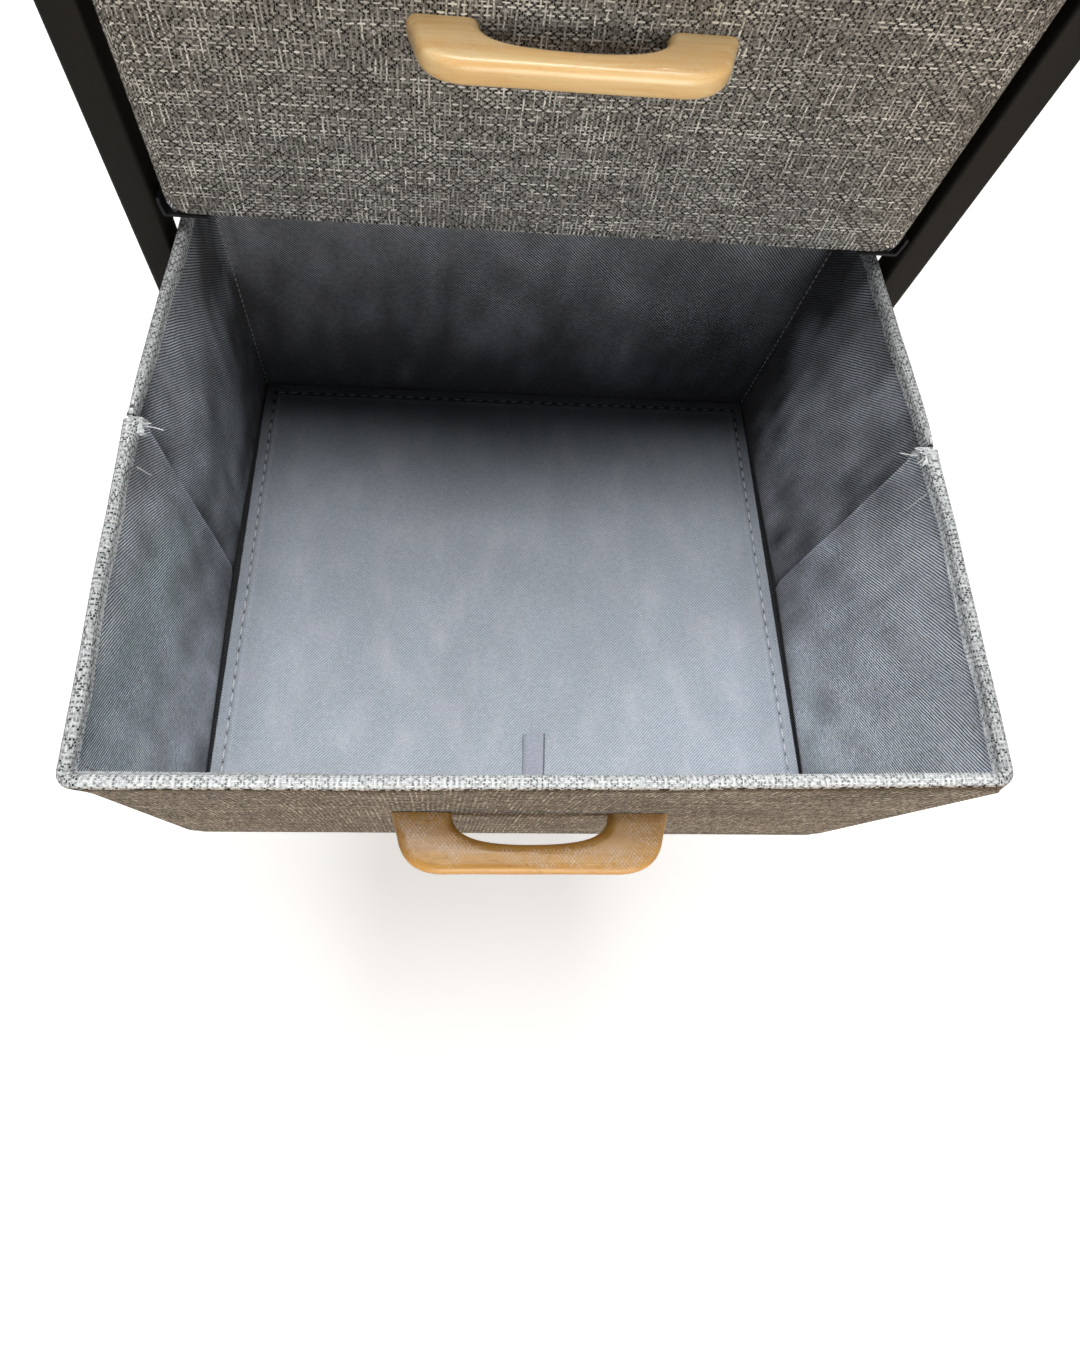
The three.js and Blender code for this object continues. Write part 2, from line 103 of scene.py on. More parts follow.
# %% Node bench
class NodeBench:
    """Places nodes in one node tree and links them."""

    def __init__(self, tree):
        self.tree = tree

    def add(self, kind, **settings):
        node = self.tree.nodes.new(kind)
        for key, value in settings.items():
            setattr(node, key, value)
        return node

    def feed(self, socket, value):
        if isinstance(value, bpy.types.NodeSocket):
            self.tree.links.new(value, socket)
        elif hasattr(value, "__len__") and len(value) == 3 and socket.type == "RGBA":
            socket.default_value = (*value, 1)
        else:
            socket.default_value = value

    def math(self, operation, *values):
        node = self.add("ShaderNodeMath", operation=operation)
        for socket, value in zip(node.inputs, values):
            self.feed(socket, value)
        return node.outputs[0]

    def times(self, first, second):
        return self.math("MULTIPLY", first, second)

    def plus(self, first, second):
        return self.math("ADD", first, second)

    def minus(self, first, second):
        return self.math("SUBTRACT", first, second)

    def off_middle(self, value):
        """How far a value is from the middle of its own whole step, 0 to 0.5."""
        return self.math("ABSOLUTE", self.minus(self.math("FRACT", value), 0.5))

    def vector(self, operation, first, second):
        node = self.add("ShaderNodeVectorMath", operation=operation)
        self.feed(node.inputs[0], first)
        self.feed(node.inputs[1], second)
        return node.outputs[0]

    def noise(self, vector, scale, detail=2.0, output="Fac"):
        node = self.add("ShaderNodeTexNoise")
        self.feed(node.inputs["Vector"], vector)
        self.feed(node.inputs["Scale"], scale)
        self.feed(node.inputs["Detail"], detail)
        return node.outputs[output]

    def wobble(self, point, scale, detail, reach):
        """A small move to all sides, by noise, which makes straight lines waver."""
        away = self.vector("SUBTRACT", self.noise(point, scale, detail, "Color"), (0.5, 0.5, 0.5))
        return self.vector("MULTIPLY", away, reach)

    def stretched(self, point, rates, detail):
        """Noise with its own rate along each axis, in waves per metre."""
        return self.noise(self.vector("MULTIPLY", point, rates), 1.0, detail)

    def streaks(self, across, across_rate, up, up_rate, detail):
        """Stretched noise on two numbers, such as a place and the number of a yarn."""
        point = self.join(self.times(across, across_rate), self.times(up, up_rate))
        return self.noise(point, 1.0, detail)

    def chance(self, vector):
        """A random value for each whole number in a vector."""
        node = self.add("ShaderNodeTexWhiteNoise", noise_dimensions="3D")
        self.feed(node.inputs["Vector"], vector)
        return node.outputs["Value"]

    def step(self, value, low, high):
        """Rises smoothly from 0 at low to 1 at high."""
        node = self.add("ShaderNodeMapRange", interpolation_type="SMOOTHSTEP")
        self.feed(node.inputs["Value"], value)
        self.feed(node.inputs["From Min"], low)
        self.feed(node.inputs["From Max"], high)
        return node.outputs["Result"]

    def between(self, value, low, high):
        """Stretches 0..1 to low..high."""
        node = self.add("ShaderNodeMapRange")
        self.feed(node.inputs["Value"], value)
        self.feed(node.inputs["To Min"], low)
        self.feed(node.inputs["To Max"], high)
        return node.outputs["Result"]

    def mix(self, factor, first, second, blend="MIX"):
        node = self.add("ShaderNodeMix", data_type="RGBA", blend_type=blend)
        self.feed(node.inputs["Factor"], factor)
        self.feed(node.inputs[6], first)
        self.feed(node.inputs[7], second)
        return node.outputs[2]

    def toned(self, colour, shade, share=1.0):
        """Darkens or lightens a colour; a shade of 1 leaves it as it is."""
        return self.mix(share, colour, self.join(shade, shade, shade), "MULTIPLY")

    def split(self, vector):
        node = self.add("ShaderNodeSeparateXYZ")
        self.feed(node.inputs[0], vector)
        return node.outputs[0], node.outputs[1], node.outputs[2]

    def join(self, x, y, z=0.0):
        node = self.add("ShaderNodeCombineXYZ")
        for socket, value in zip(node.inputs, (x, y, z)):
            self.feed(socket, value)
        return node.outputs[0]

    def facing_up(self):
        """1 where the surface faces straight up, 0 where it is upright."""
        return self.split(self.add("ShaderNodeNewGeometry").outputs["Normal"])[2]


def new_group(name, inputs, outputs):
    """A node group with named sockets; returns its bench, its input and its output node."""
    tree = bpy.data.node_groups.new(name, "ShaderNodeTree")
    for label, kind, value in inputs:
        socket = tree.interface.new_socket(label, in_out="INPUT", socket_type=kind)
        if value is not None:
            socket.default_value = value
    for label, kind in outputs:
        tree.interface.new_socket(label, in_out="OUTPUT", socket_type=kind)
    bench = NodeBench(tree)
    return bench, bench.add("NodeGroupInput").outputs, bench.add("NodeGroupOutput").inputs


def srgb(red, green, blue):
    """A colour as the eye names it, 0 to 255, turned to the linear values of a shader."""
    def linear(value):
        share = value / 255
        return share / 12.92 if share <= 0.04045 else ((share + 0.055) / 1.055) ** 2.4
    return (linear(red), linear(green), linear(blue))


print("bench ready")

# %% [markdown]
# ## Light
# The light in the photograph comes from above and a little behind: the rims and the front
# of the base board are bright, and the closed drawers shade the back of the open one more
# and more. So most of the light is one wide lamp overhead. A far lamp in front lights the
# fronts without reaching deep into the drawer, a weak one on the left picks out the
# drawer's right wall, and a low warm one stands for what a wooden floor sends back. The
# background is white only to the camera and to gloss, so it adds next to no light.

# %% Light and background
# Name, place, the point it looks at, width in metres, power in watts, colour.
LAMPS = [
    ("ceiling", (0, 0.3, 2.7), (0, 0.3, 0), 1.2, 50, (1.0, 0.995, 0.985)),
    ("front", (0.5, -3.0, 1.1), (0, 0, 0.6), 1.8, 57, (1.0, 0.955, 0.89)),
    ("side", (-2.2, 0.1, 2.2), (0, -0.1, 0.6), 1.0, 10, (1.0, 0.99, 0.98)),
    ("floor_bounce", (0.2, -0.95, 0.05), (0, -0.25, 0.5), 0.9, 3.4, (1.0, 0.56, 0.22)),
]
BACKGROUND_LIGHT = 0.03  # what the background adds, where white is 1


def add_lamp(name, place, aim, width, power, colour):
    """A square area lamp that looks at a point."""
    data = bpy.data.lights.new(name, "AREA")
    data.shape = "SQUARE"
    data.size = width
    data.energy = power
    data.color = colour
    lamp = place_in_scene(name, data)
    lamp.location = place
    lamp.rotation_euler = (Vector(aim) - Vector(place)).to_track_quat("-Z", "Y").to_euler()


def make_world():
    """White to the camera, in gloss and through glass, and nearly dark to all else."""
    world = bpy.data.worlds.new("studio")
    world.use_nodes = True
    world.node_tree.nodes.clear()
    bench = NodeBench(world.node_tree)
    path = bench.add("ShaderNodeLightPath").outputs
    in_gloss = bench.math("MAXIMUM", path["Is Transmission Ray"], path["Is Glossy Ray"])
    seen = bench.math("MAXIMUM", path["Is Camera Ray"], in_gloss)
    light = bench.add("ShaderNodeBackground")
    bench.feed(light.inputs["Color"], (1, 1, 1))
    bench.feed(light.inputs["Strength"], bench.between(seen, BACKGROUND_LIGHT, 1.0))
    out = bench.add("ShaderNodeOutputWorld")
    bench.feed(out.inputs["Surface"], light.outputs[0])
    return world


for lamp in LAMPS:
    add_lamp(*lamp)
bpy.context.scene.world = make_world()
bpy.context.scene.view_settings.view_transform = "Standard"
print("lamps:", [lamp[0] for lamp in LAMPS])

# %% [markdown]
# ## Effects that several finishes share
# The bins are covered in a coarse plain weave of light, mid and dark yarns. Close up, each
# weft yarn shows as a row of light dashes, and the next row is moved by half a step. The
# group below draws that from the cloth's own map, in metres, so that the yarns follow the
# cloth over the rim. An image would do too, but it would blur close up and repeat.

# %% Linen weave group
VECTOR, FLOAT, COLOUR = "NodeSocketVector", "NodeSocketFloat", "NodeSocketColor"


def make_linen_weave():
    bench, given, wanted = new_group(
        "linen_weave",
        [
            ("Cloth", VECTOR, None),
            ("Warp Pitch", FLOAT, 0.0021),
            ("Weft Pitch", FLOAT, 0.0016),
            ("Slits", FLOAT, 0.6),
            ("Light Yarn", COLOUR, (0.6, 0.6, 0.55, 1)),
            ("Mid Yarn", COLOUR, (0.2, 0.2, 0.18, 1)),
            ("Gap", COLOUR, (0.03, 0.03, 0.03, 1)),
        ],
        [("Color", COLOUR), ("Height", FLOAT)],
    )
    cloth, slits = given["Cloth"], given["Slits"]
    light, mid, gap = given["Light Yarn"], given["Mid Yarn"], given["Gap"]
    swayed = bench.vector("ADD", cloth, bench.wobble(cloth, 45, 2, (0.0015, 0.0014, 0)))
    placed = bench.vector("ADD", swayed, bench.wobble(cloth, 420, 1, (0.001, 0.0006, 0)))
    across, up, _ = bench.split(placed)
    columns = bench.math("DIVIDE", across, given["Warp Pitch"])
    rows = bench.math("DIVIDE", up, given["Weft Pitch"])
    column = bench.math("FLOOR", columns)
    row = bench.math("FLOOR", rows)
    in_column = bench.off_middle(columns)
    in_row = bench.off_middle(rows)

    # The weft yarn shows as a dash over every second warp yarn, and ends in a dark slit.
    paired = bench.times(bench.plus(bench.plus(columns, row), 0.5), 0.5)
    in_dash = bench.off_middle(paired)
    dash_number = bench.join(bench.math("FLOOR", paired), row)
    dash_length = bench.between(bench.chance(dash_number), 0.26, 0.4)
    dash_end = bench.step(bench.minus(dash_length, in_dash), -0.01, 0.05)
    thin = bench.streaks(across, 330, row, 3.7, 2)
    dash_side = bench.step(bench.minus(bench.between(thin, 0.02, 0.4), in_row), -0.05, 0.08)
    dash = bench.times(dash_end, dash_side)
    slit_number = bench.join(bench.math("FLOOR", bench.plus(paired, 0.5)), row, 3.0)
    slit_open = bench.times(bench.step(bench.chance(slit_number), 0.25, 0.8), slits)
    slit = bench.times(bench.step(in_dash, 0.38, 0.46), bench.step(in_row, 0.5, 0.34))
    hole = bench.times(slit, slit_open)

    # Under the dashes the warp yarns show as thin upright strands with dark lines between.
    strands = bench.streaks(across, 1500, up, 330, 2)
    crossed = bench.streaks(across, 420, up, 1900, 1)
    ground = bench.plus(bench.times(strands, 0.65), bench.times(crossed, 0.35))
    ground_shade = bench.step(ground, 0.3, 0.72)
    strand_line = bench.step(bench.minus(bench.between(thin, 0.06, 0.24), in_column), -0.04, 0.06)
    strand_run = bench.streaks(column, 3.17, up, 150, 1)
    strand = bench.times(strand_line, bench.step(strand_run, 0.34, 0.56))
    line_number = bench.math("FLOOR", bench.plus(columns, 0.5))
    line_run = bench.streaks(line_number, 2.83, up, 210, 1)
    dark_line = bench.times(bench.step(in_column, 0.3, 0.42), bench.step(line_run, 0.36, 0.6))

    # Each yarn changes its shade slowly along its own length.
    cloud = bench.between(bench.noise(cloth, 16, 2), -0.14, 0.14)
    weft_run = bench.streaks(across, 17, row, 7.31, 2)
    warp_run = bench.streaks(column, 5.17, up, 40, 2)
    own_number = bench.vector("ADD", dash_number, (0.5, 0.5, 9.5))
    own = bench.between(bench.chance(own_number), -0.12, 0.12)
    weft_shade = bench.step(bench.plus(bench.plus(weft_run, own), cloud), 0.36, 0.8)
    warp_shade = bench.step(bench.plus(warp_run, cloud), 0.36, 0.72)
    weft_colour = bench.mix(bench.between(weft_shade, 0.12, 1.0), mid, light)
    strand_colour = bench.mix(bench.between(warp_shade, 0.25, 1.0), mid, light)
    ground_colour = bench.mix(bench.times(ground_shade, 0.3), mid, light)
    # Painted shade: the ground is darker towards the edges of each row, above and below the dashes.
    painted_row_shade = bench.between(bench.times(ground_shade, bench.between(in_row, 1.1, 0.8)), 0.3, 1.12)

    # The layers are laid over each other, from the lines between the yarns up to the dashes.
    lined = bench.mix(bench.times(dark_line, slits), bench.toned(ground_colour, painted_row_shade, slits), gap)
    warp = bench.mix(bench.times(strand, 0.95), lined, strand_colour)
    under = bench.mix(hole, warp, gap)
    fluff = bench.between(bench.stretched(cloth, (700, 3200, 1), 1), 0.72, 1.3)
    bench.feed(wanted["Color"], bench.mix(dash, under, bench.toned(weft_colour, fluff)))

    # The dashes stand highest, the strands lower, and the slits lowest.
    dash_crown = bench.times(dash, bench.between(bench.times(in_dash, 2.4), 1.0, 0.75))
    strand_height = bench.plus(bench.times(ground_shade, 0.3), bench.times(strand, 0.3))
    sunk = bench.minus(strand_height, bench.times(bench.math("MAXIMUM", hole, dark_line), 0.3))
    bench.feed(wanted["Height"], bench.math("MAXIMUM", dash_crown, sunk))
    return bench.tree


linen_weave = make_linen_weave()
print("linen weave:", len(linen_weave.nodes), "nodes")

# %% [markdown]
# The lining is a thin grey twill, whose yarns make fine slanting ribs. A rib is a wave
# across the slant, broken into short floats along it. Handling has rubbed it pale, as if
# with chalk, in patches.

# %% Twill group
SLANT_LENGTH = 1.41  # a step across ribs at 45 degrees, seen along the cloth
CHALK_COLOUR = (0.65, 0.65, 0.72)


def make_twill():
    bench, given, wanted = new_group(
        "twill",
        [
            ("Cloth", VECTOR, None),
            ("Rib Pitch", FLOAT, 0.0013),
            ("Slant", FLOAT, 1.0),
            ("Rib Colour", COLOUR, (0.3, 0.3, 0.33, 1)),
            ("Valley Colour", COLOUR, (0.1, 0.1, 0.12, 1)),
            ("Chalk", FLOAT, 0.2),
        ],
        [("Color", COLOUR), ("Height", FLOAT)],
    )
    cloth = given["Cloth"]
    moved = bench.vector("ADD", cloth, bench.wobble(cloth, 55, 4, (0.0016, 0.0016, 0)))
    across, up, _ = bench.split(moved)
    slanted = bench.minus(bench.times(up, given["Slant"]), across)
    ribs = bench.math("DIVIDE", slanted, bench.times(given["Rib Pitch"], SLANT_LENGTH))
    rib = bench.minus(1.0, bench.step(bench.off_middle(ribs), 0.14, 0.42))
    along = bench.math("DIVIDE", bench.plus(up, across), given["Rib Pitch"])
    float_step = bench.plus(along, bench.times(bench.math("FLOOR", ribs), 0.37))
    floats = bench.minus(1.0, bench.step(bench.off_middle(float_step), 0.34, 0.5))
    grain = bench.noise(cloth, 1100, 2)
    worn = bench.between(bench.noise(cloth, 330, 3), 0.35, 1.25)
    thread = bench.times(bench.times(rib, bench.between(floats, 0.45, 1.0)), worn)
    colour = bench.mix(thread, given["Valley Colour"], given["Rib Colour"])
    rubbed = bench.noise(bench.vector("MULTIPLY", cloth, (1.0, 0.55, 1)), 60, 5)
    large = bench.noise(cloth, 9, 3)
    rub = bench.times(bench.step(rubbed, 0.42, 0.78), given["Chalk"])
    chalk = bench.times(rub, bench.between(large, 0.2, 1.5))
    shade = bench.times(bench.between(grain, 0.62, 1.38), bench.between(large, 0.9, 1.1))
    bench.feed(wanted["Color"], bench.toned(bench.mix(chalk, colour, CHALK_COLOUR), shade))
    bench.feed(wanted["Height"], bench.plus(thread, bench.times(grain, 0.3)))
    return bench.tree


twill = make_twill()
print("twill:", len(twill.nodes), "nodes")

# %% [markdown]
# Wood grain serves the beech handles and the top board. Its growth lines run along X, so
# the point that the noise reads is stretched a lot along X. Short dark flecks are the
# pores. Fine brush marks, in two slanting directions, lie in the varnish. They are broken
# up and kept to patches, since whole lines would look like a printed grid.

# %% Wood grain group
BRUSH_RATE = 3600  # radians of a brush mark's wave per metre
BRUSH_STROKES = ((0.9, 1.0), (-0.8, 0.6))  # the slant and the strength of each set


def make_wood_grain():
    bench, given, wanted = new_group(
        "wood_grain",
        [
            ("Point", VECTOR, None),
            ("Scale", FLOAT, 1.0),
            ("Light Wood", COLOUR, (0.7, 0.45, 0.2, 1)),
            ("Dark Wood", COLOUR, (0.5, 0.26, 0.08, 1)),
            ("Flecks", FLOAT, 0.5),
        ],
        [("Color", COLOUR), ("Height", FLOAT), ("Brush", FLOAT)],
    )
    scale = given["Scale"]
    point = bench.vector("MULTIPLY", given["Point"], bench.join(scale, scale, scale))
    bent = bench.vector("ADD", point, bench.wobble(point, 9, 2, (0.0, 0.012, 0.012)))
    rings = bench.stretched(bent, (7, 230, 230), 3)
    fine = bench.stretched(bent, (26, 900, 900), 2)
    pores = bench.stretched(bent, (170, 1900, 1900), 1)
    shade = bench.plus(bench.times(bench.step(rings, 0.3, 0.7), 0.62), bench.times(fine, 0.38))
    colour = bench.mix(shade, given["Light Wood"], given["Dark Wood"])
    fleck = bench.times(bench.step(pores, 0.63, 0.75), given["Flecks"])
    bench.feed(wanted["Color"], bench.mix(fleck, colour, given["Dark Wood"], "MULTIPLY"))
    bench.feed(wanted["Height"], bench.minus(bench.times(fine, 0.4), fleck))

    x, y, z = bench.split(given["Point"])
    flat = bench.plus(y, z)
    breaks = bench.noise(given["Point"], 480, 3)
    patches = bench.noise(given["Point"], 75, 3)
    marks = []
    for slope, weight in BRUSH_STROKES:
        line = bench.times(bench.plus(x, bench.times(flat, slope)), BRUSH_RATE)
        wave = bench.math("SINE", bench.plus(line, bench.times(breaks, 9.0)))
        marks.append(bench.times(bench.step(wave, 0.0, 1.0), weight))
    worn = bench.times(bench.step(breaks, 0.3, 0.6), bench.step(patches, 0.35, 0.62))
    bench.feed(wanted["Brush"], bench.times(bench.math("MAXIMUM", *marks), worn))
    return bench.tree


wood_grain = make_wood_grain()
print("wood grain:", len(wood_grain.nodes), "nodes")

# %% [markdown]
# Powder coat, moulded plastic and plate all have a fine pebbled skin. One group gives the
# pebble height and a slow drift of gloss, and each finish sets its own scale. A second
# group lays a trace of dust on what faces up, which breaks up large dark faces.

# %% Pebble and dust groups
def make_pebble():
    bench, given, wanted = new_group(
        "pebble",
        [("Point", VECTOR, None), ("Grain Size", FLOAT, 0.0006)],
        [("Height", FLOAT), ("Drift", FLOAT)],
    )
    fineness = bench.math("DIVIDE", 1.0, given["Grain Size"])
    bumps = bench.noise(given["Point"], fineness, 2)
    bench.feed(wanted["Height"], bench.step(bumps, 0.3, 0.7))
    bench.feed(wanted["Drift"], bench.noise(given["Point"], 22, 4))
    return bench.tree


def make_dust():
    bench, given, wanted = new_group(
        "dust",
        [("Color", COLOUR, (0.5, 0.5, 0.5, 1)), ("Point", VECTOR, None), ("Amount", FLOAT, 0.1)],
        [("Color", COLOUR)],
    )
    patches = bench.step(bench.noise(given["Point"], 38, 5), 0.4, 0.75)
    settled = bench.times(bench.step(bench.facing_up(), 0.3, 1.0), patches)
    amount = bench.times(settled, given["Amount"])
    bench.feed(wanted["Color"], bench.mix(amount, given["Color"], (0.42, 0.41, 0.39)))
    return bench.tree


pebble = make_pebble()
dust = make_dust()
print("pebble and dust:", len(pebble.nodes), len(dust.nodes), "nodes")

# %% [markdown]
# ## Finishes
# Every finish is one Principled shader. Colour, roughness and bump come from the groups,
# and whatever is the same all over is set on the shader's own socket.

# %% Material helpers
def new_finish(name, **sockets):
    """A material with one Principled shader; returns the material, its bench and shader."""
    material = bpy.data.materials.new(name)
    material.use_nodes = True
    tree = material.node_tree
    tree.nodes.clear()
    bench = NodeBench(tree)
    shader = bench.add("ShaderNodeBsdfPrincipled")
    for label, value in sockets.items():
        bench.feed(shader.inputs[label.replace("_", " ")], value)
    out = bench.add("ShaderNodeOutputMaterial")
    tree.links.new(shader.outputs[0], out.inputs["Surface"])
    return material, bench, shader


def use_group(bench, tree, **sockets):
    """Places a group in a material, feeds it and returns its outputs."""
    node = bench.add("ShaderNodeGroup", node_tree=tree)
    for label, value in sockets.items():
        bench.feed(node.inputs[label.replace("_", " ")], value)
    return node.outputs


def add_bump(bench, shader, height, distance):
    """Turns a height into the shader's normal."""
    bump = bench.add("ShaderNodeBump")
    bump.inputs["Distance"].default_value = distance
    bench.feed(bump.inputs["Height"], height)
    bench.feed(shader.inputs["Normal"], bump.outputs[0])


def cloth_map(bench):
    """The cloth's own map, in metres."""
    return bench.add("ShaderNodeUVMap", uv_map="cloth").outputs[0]


def object_point(bench):
    return bench.add("ShaderNodeTexCoord").outputs["Object"]


def piece_shade(bench):
    """The painted light and shade that a piece's mesh carries; half is neutral."""
    return bench.add("ShaderNodeAttribute", attribute_name="shade").outputs["Fac"]


def shaded(bench, colour):
    """Darkens or lightens a colour by the piece's shade."""
    return bench.toned(colour, bench.between(piece_shade(bench), 0.0, 2.0))


print("material helpers ready")

# %% [markdown]
# ### Cloths
# The linen, the hem over the rim, the twill on the walls and on the boards and the tab's
# tape are all woven, so they share two weaves and differ in colour, pitch and depth. Painted
# light and shade on them hangs on the place: the mesh carries one number for each of its
# points, the shade, which follows the folds as no pattern in space can. On lining and tape
# it is painted light and shade. On linen it is a painted warm shade. On the hem it is painted
# light and shade, which also opens the weave along the sides, and nought means the outer
# lower edge, where needle holes are painted dark as the shade in them.

# %% Cloth finishes
WARM_SHADE_COLOUR = (0.35, 0.24, 0.12)
HOLE_SHADE_COLOUR = (44, 44, 46)


def make_linen(name, light, mid, gap, depth):
    """The bins' outer cloth, with painted warm shade: darker and browner where its shade is under one
    half.
    """
    material, bench, shader = new_finish(
        name, Roughness=0.9, Sheen_Weight=0.02, Sheen_Roughness=0.5, Specular_IOR_Level=0.08
    )
    weave = use_group(
        bench, linen_weave, Cloth=cloth_map(bench), Light_Yarn=light, Mid_Yarn=mid, Gap=gap, Slits=1.0
    )
    # Painted shade: where the shade is under one half, the linen is darkened and warmed towards a brown.
    unshaded_share = bench.times(bench.math("MINIMUM", piece_shade(bench), 0.5), 2.0)
    toned = bench.mix(unshaded_share, WARM_SHADE_COLOUR, (1.0, 1.0, 1.0))
    bench.feed(shader.inputs["Base Color"], bench.mix(1.0, weave["Color"], toned, "MULTIPLY"))
    add_bump(bench, shader, weave["Height"], depth)
    return material


def make_lining(name, rib, valley, pitch, slant, chalk, depth):
    """Grey twill; a slant of 1 runs up to the right and one of -1 down."""
    material, bench, shader = new_finish(
        name, Roughness=0.8, Sheen_Weight=0.1, Sheen_Roughness=0.5, Specular_IOR_Level=0.3
    )
    ribs = use_group(
        bench, twill, Cloth=cloth_map(bench), Rib_Colour=rib, Valley_Colour=valley,
        Rib_Pitch=pitch, Slant=slant, Chalk=chalk,
    )
    bench.feed(shader.inputs["Base Color"], shaded(bench, ribs["Color"]))
    add_bump(bench, shader, ribs["Height"], depth)
    return material


def make_hem(name, light, mid, gap, depth):
    """Linen folded over the rim: painted light along the front, painted shade along the sides with more
    open slits, and needle holes along its outer lower edge painted dark as the shade in them.
    """
    material, bench, shader = new_finish(name, Roughness=0.9, Specular_IOR_Level=0.15)
    cloth = cloth_map(bench)
    shade = piece_shade(bench)
    slits = bench.between(bench.step(shade, 0.42, 0.52), 1.0, 0.75)
    weave = use_group(
        bench, linen_weave, Cloth=cloth, Light_Yarn=light, Mid_Yarn=mid, Gap=gap, Slits=slits
    )
    # Painted light and shade: the front is lightened, the sides darkened, and the outer lower edge gets
    # dark holes.
    toned = bench.toned(weave["Color"], bench.times(bench.math("MAXIMUM", shade, 0.41), 2.0))
    edge = bench.minus(1.0, bench.step(shade, 0.02, 0.34))
    upright = bench.vector("MULTIPLY", cloth, (1.0, 0.5, 1))
    spots = bench.step(bench.noise(upright, 430, 1), 0.5, 0.56)
    holes_and_shade = bench.mix(bench.times(edge, spots), toned, srgb(*HOLE_SHADE_COLOUR))
    bench.feed(shader.inputs["Base Color"], holes_and_shade)
    add_bump(bench, shader, weave["Height"], depth)
    return material


linen_finish = make_linen(
    "linen", light=srgb(255, 254, 248), mid=srgb(92, 89, 84), gap=srgb(6, 6, 5), depth=0.32 * MM
)
hem_finish = make_hem(
    "linen_hem", light=srgb(254, 255, 255), mid=srgb(230, 235, 238), gap=srgb(26, 28, 31), depth=0.5 * MM
)
wall_finish = make_lining(
    "wall_lining", rib=srgb(240, 246, 255), valley=srgb(46, 48, 55),
    pitch=1.35 * MM, slant=-1.0, chalk=0.2, depth=0.3 * MM,
)
board_finish = make_lining(
    "board_cover", rib=srgb(208, 216, 226), valley=srgb(148, 156, 167),
    pitch=1.25 * MM, slant=1.0, chalk=0.42, depth=0.06 * MM,
)
tab_finish = make_lining(
    "tab_tape", rib=srgb(202, 207, 219), valley=srgb(156, 161, 175),
    pitch=0.9 * MM, slant=-1.0, chalk=0.1, depth=0.12 * MM,
)
print("cloth finishes ready")

# %% [markdown]
# ### Thread, wood, steel and plastic
# Twisted thread needs only fine noise. Beech is varnished, so it has a coat and brush
# marks, and on faces that look up the marks carry painted glints, a painted highlight. The
# second handle is a darker, honey-brown copy of the beech with stronger glints: painted shade
# and painted highlight. The powder coat is nearly black, but not quite, because real black
# paint sends some light back. Zinc is the only bare metal, and the board in each front is
# plain brown fibre.

# %% Thread, wood, steel and plastic finishes
ROUGHNESS_SPREAD = 0.07
PAINTED_GLINT_COLOUR = (255, 236, 218)


def make_thread(name, colour, painted_shade=False):
    """Twisted thread; one with painted shade is darkened by its piece's shade."""
    material, bench, shader = new_finish(name, Roughness=0.6, Sheen_Weight=0.2, Specular_IOR_Level=0.4)
    twist = bench.stretched(object_point(bench), (3000, 3000, 3000), 1)
    twisted = bench.toned(colour, bench.between(twist, 0.7, 1.25))
    bench.feed(shader.inputs["Base Color"], shaded(bench, twisted) if painted_shade else twisted)
    add_bump(bench, shader, twist, 0.1 * MM)
    return material


def make_wood(name, light, dark, scale, flecks, roughness, coat, brush_depth, painted_glint):
    """Wood with its grain along X; the painted glint is how strongly a painted highlight lightens the
    brush marks on faces that look up.
    """
    material, bench, shader = new_finish(
        name, Coat_Weight=coat, Coat_Roughness=0.2, Specular_IOR_Level=0.45
    )
    grain = use_group(
        bench, wood_grain, Point=object_point(bench), Scale=scale,
        Light_Wood=light, Dark_Wood=dark, Flecks=flecks,
    )
    # Painted highlight: brush marks on faces that look up are lightened towards a glint colour.
    marks_on_top = bench.times(grain["Brush"], bench.step(bench.facing_up(), 0.75, 0.98))
    lit = bench.mix(bench.times(marks_on_top, painted_glint), grain["Color"], srgb(*PAINTED_GLINT_COLOUR))
    bench.feed(shader.inputs["Base Color"], lit)
    rough = bench.between(grain["Height"], roughness, roughness + 0.12)
    bench.feed(shader.inputs["Roughness"], rough)
    skin = bench.plus(bench.times(grain["Height"], 0.4), bench.times(grain["Brush"], brush_depth))
    add_bump(bench, shader, skin, 0.05 * MM)
    return material


def make_coat(name, colour, roughness, grain_size, dust_amount, depth, metallic=0.0):
    """A pebbled skin with a trace of dust: paint, plastic, zinc plate or fibre board."""
    material, bench, shader = new_finish(name, Metallic=metallic, Specular_IOR_Level=0.16)
    point = object_point(bench)
    skin = use_group(bench, pebble, Point=point, Grain_Size=grain_size)
    toned = bench.toned(colour, bench.between(skin["Drift"], 0.82, 1.2))
    dusted = use_group(bench, dust, Color=toned, Point=point, Amount=dust_amount)
    bench.feed(shader.inputs["Base Color"], dusted["Color"])
    low, high = roughness - ROUGHNESS_SPREAD, roughness + ROUGHNESS_SPREAD
    bench.feed(shader.inputs["Roughness"], bench.between(skin["Drift"], low, high))
    add_bump(bench, shader, skin["Height"], depth)
    return material


thread_finish = make_thread("thread", srgb(232, 234, 240), painted_shade=True)
seam_finish = make_thread("seam_thread", srgb(150, 150, 152))
# Painted shade: a dark ball stands for the shade in each pit.
pit_shade_finish = make_thread("needle_pit_shade", srgb(34, 34, 38))
beech_finish = make_wood(
    "beech", light=srgb(255, 226, 168), dark=srgb(238, 188, 118), scale=1.0, flecks=0.35,
    roughness=0.34, coat=0.5, brush_depth=1.0, painted_glint=0.3,
)
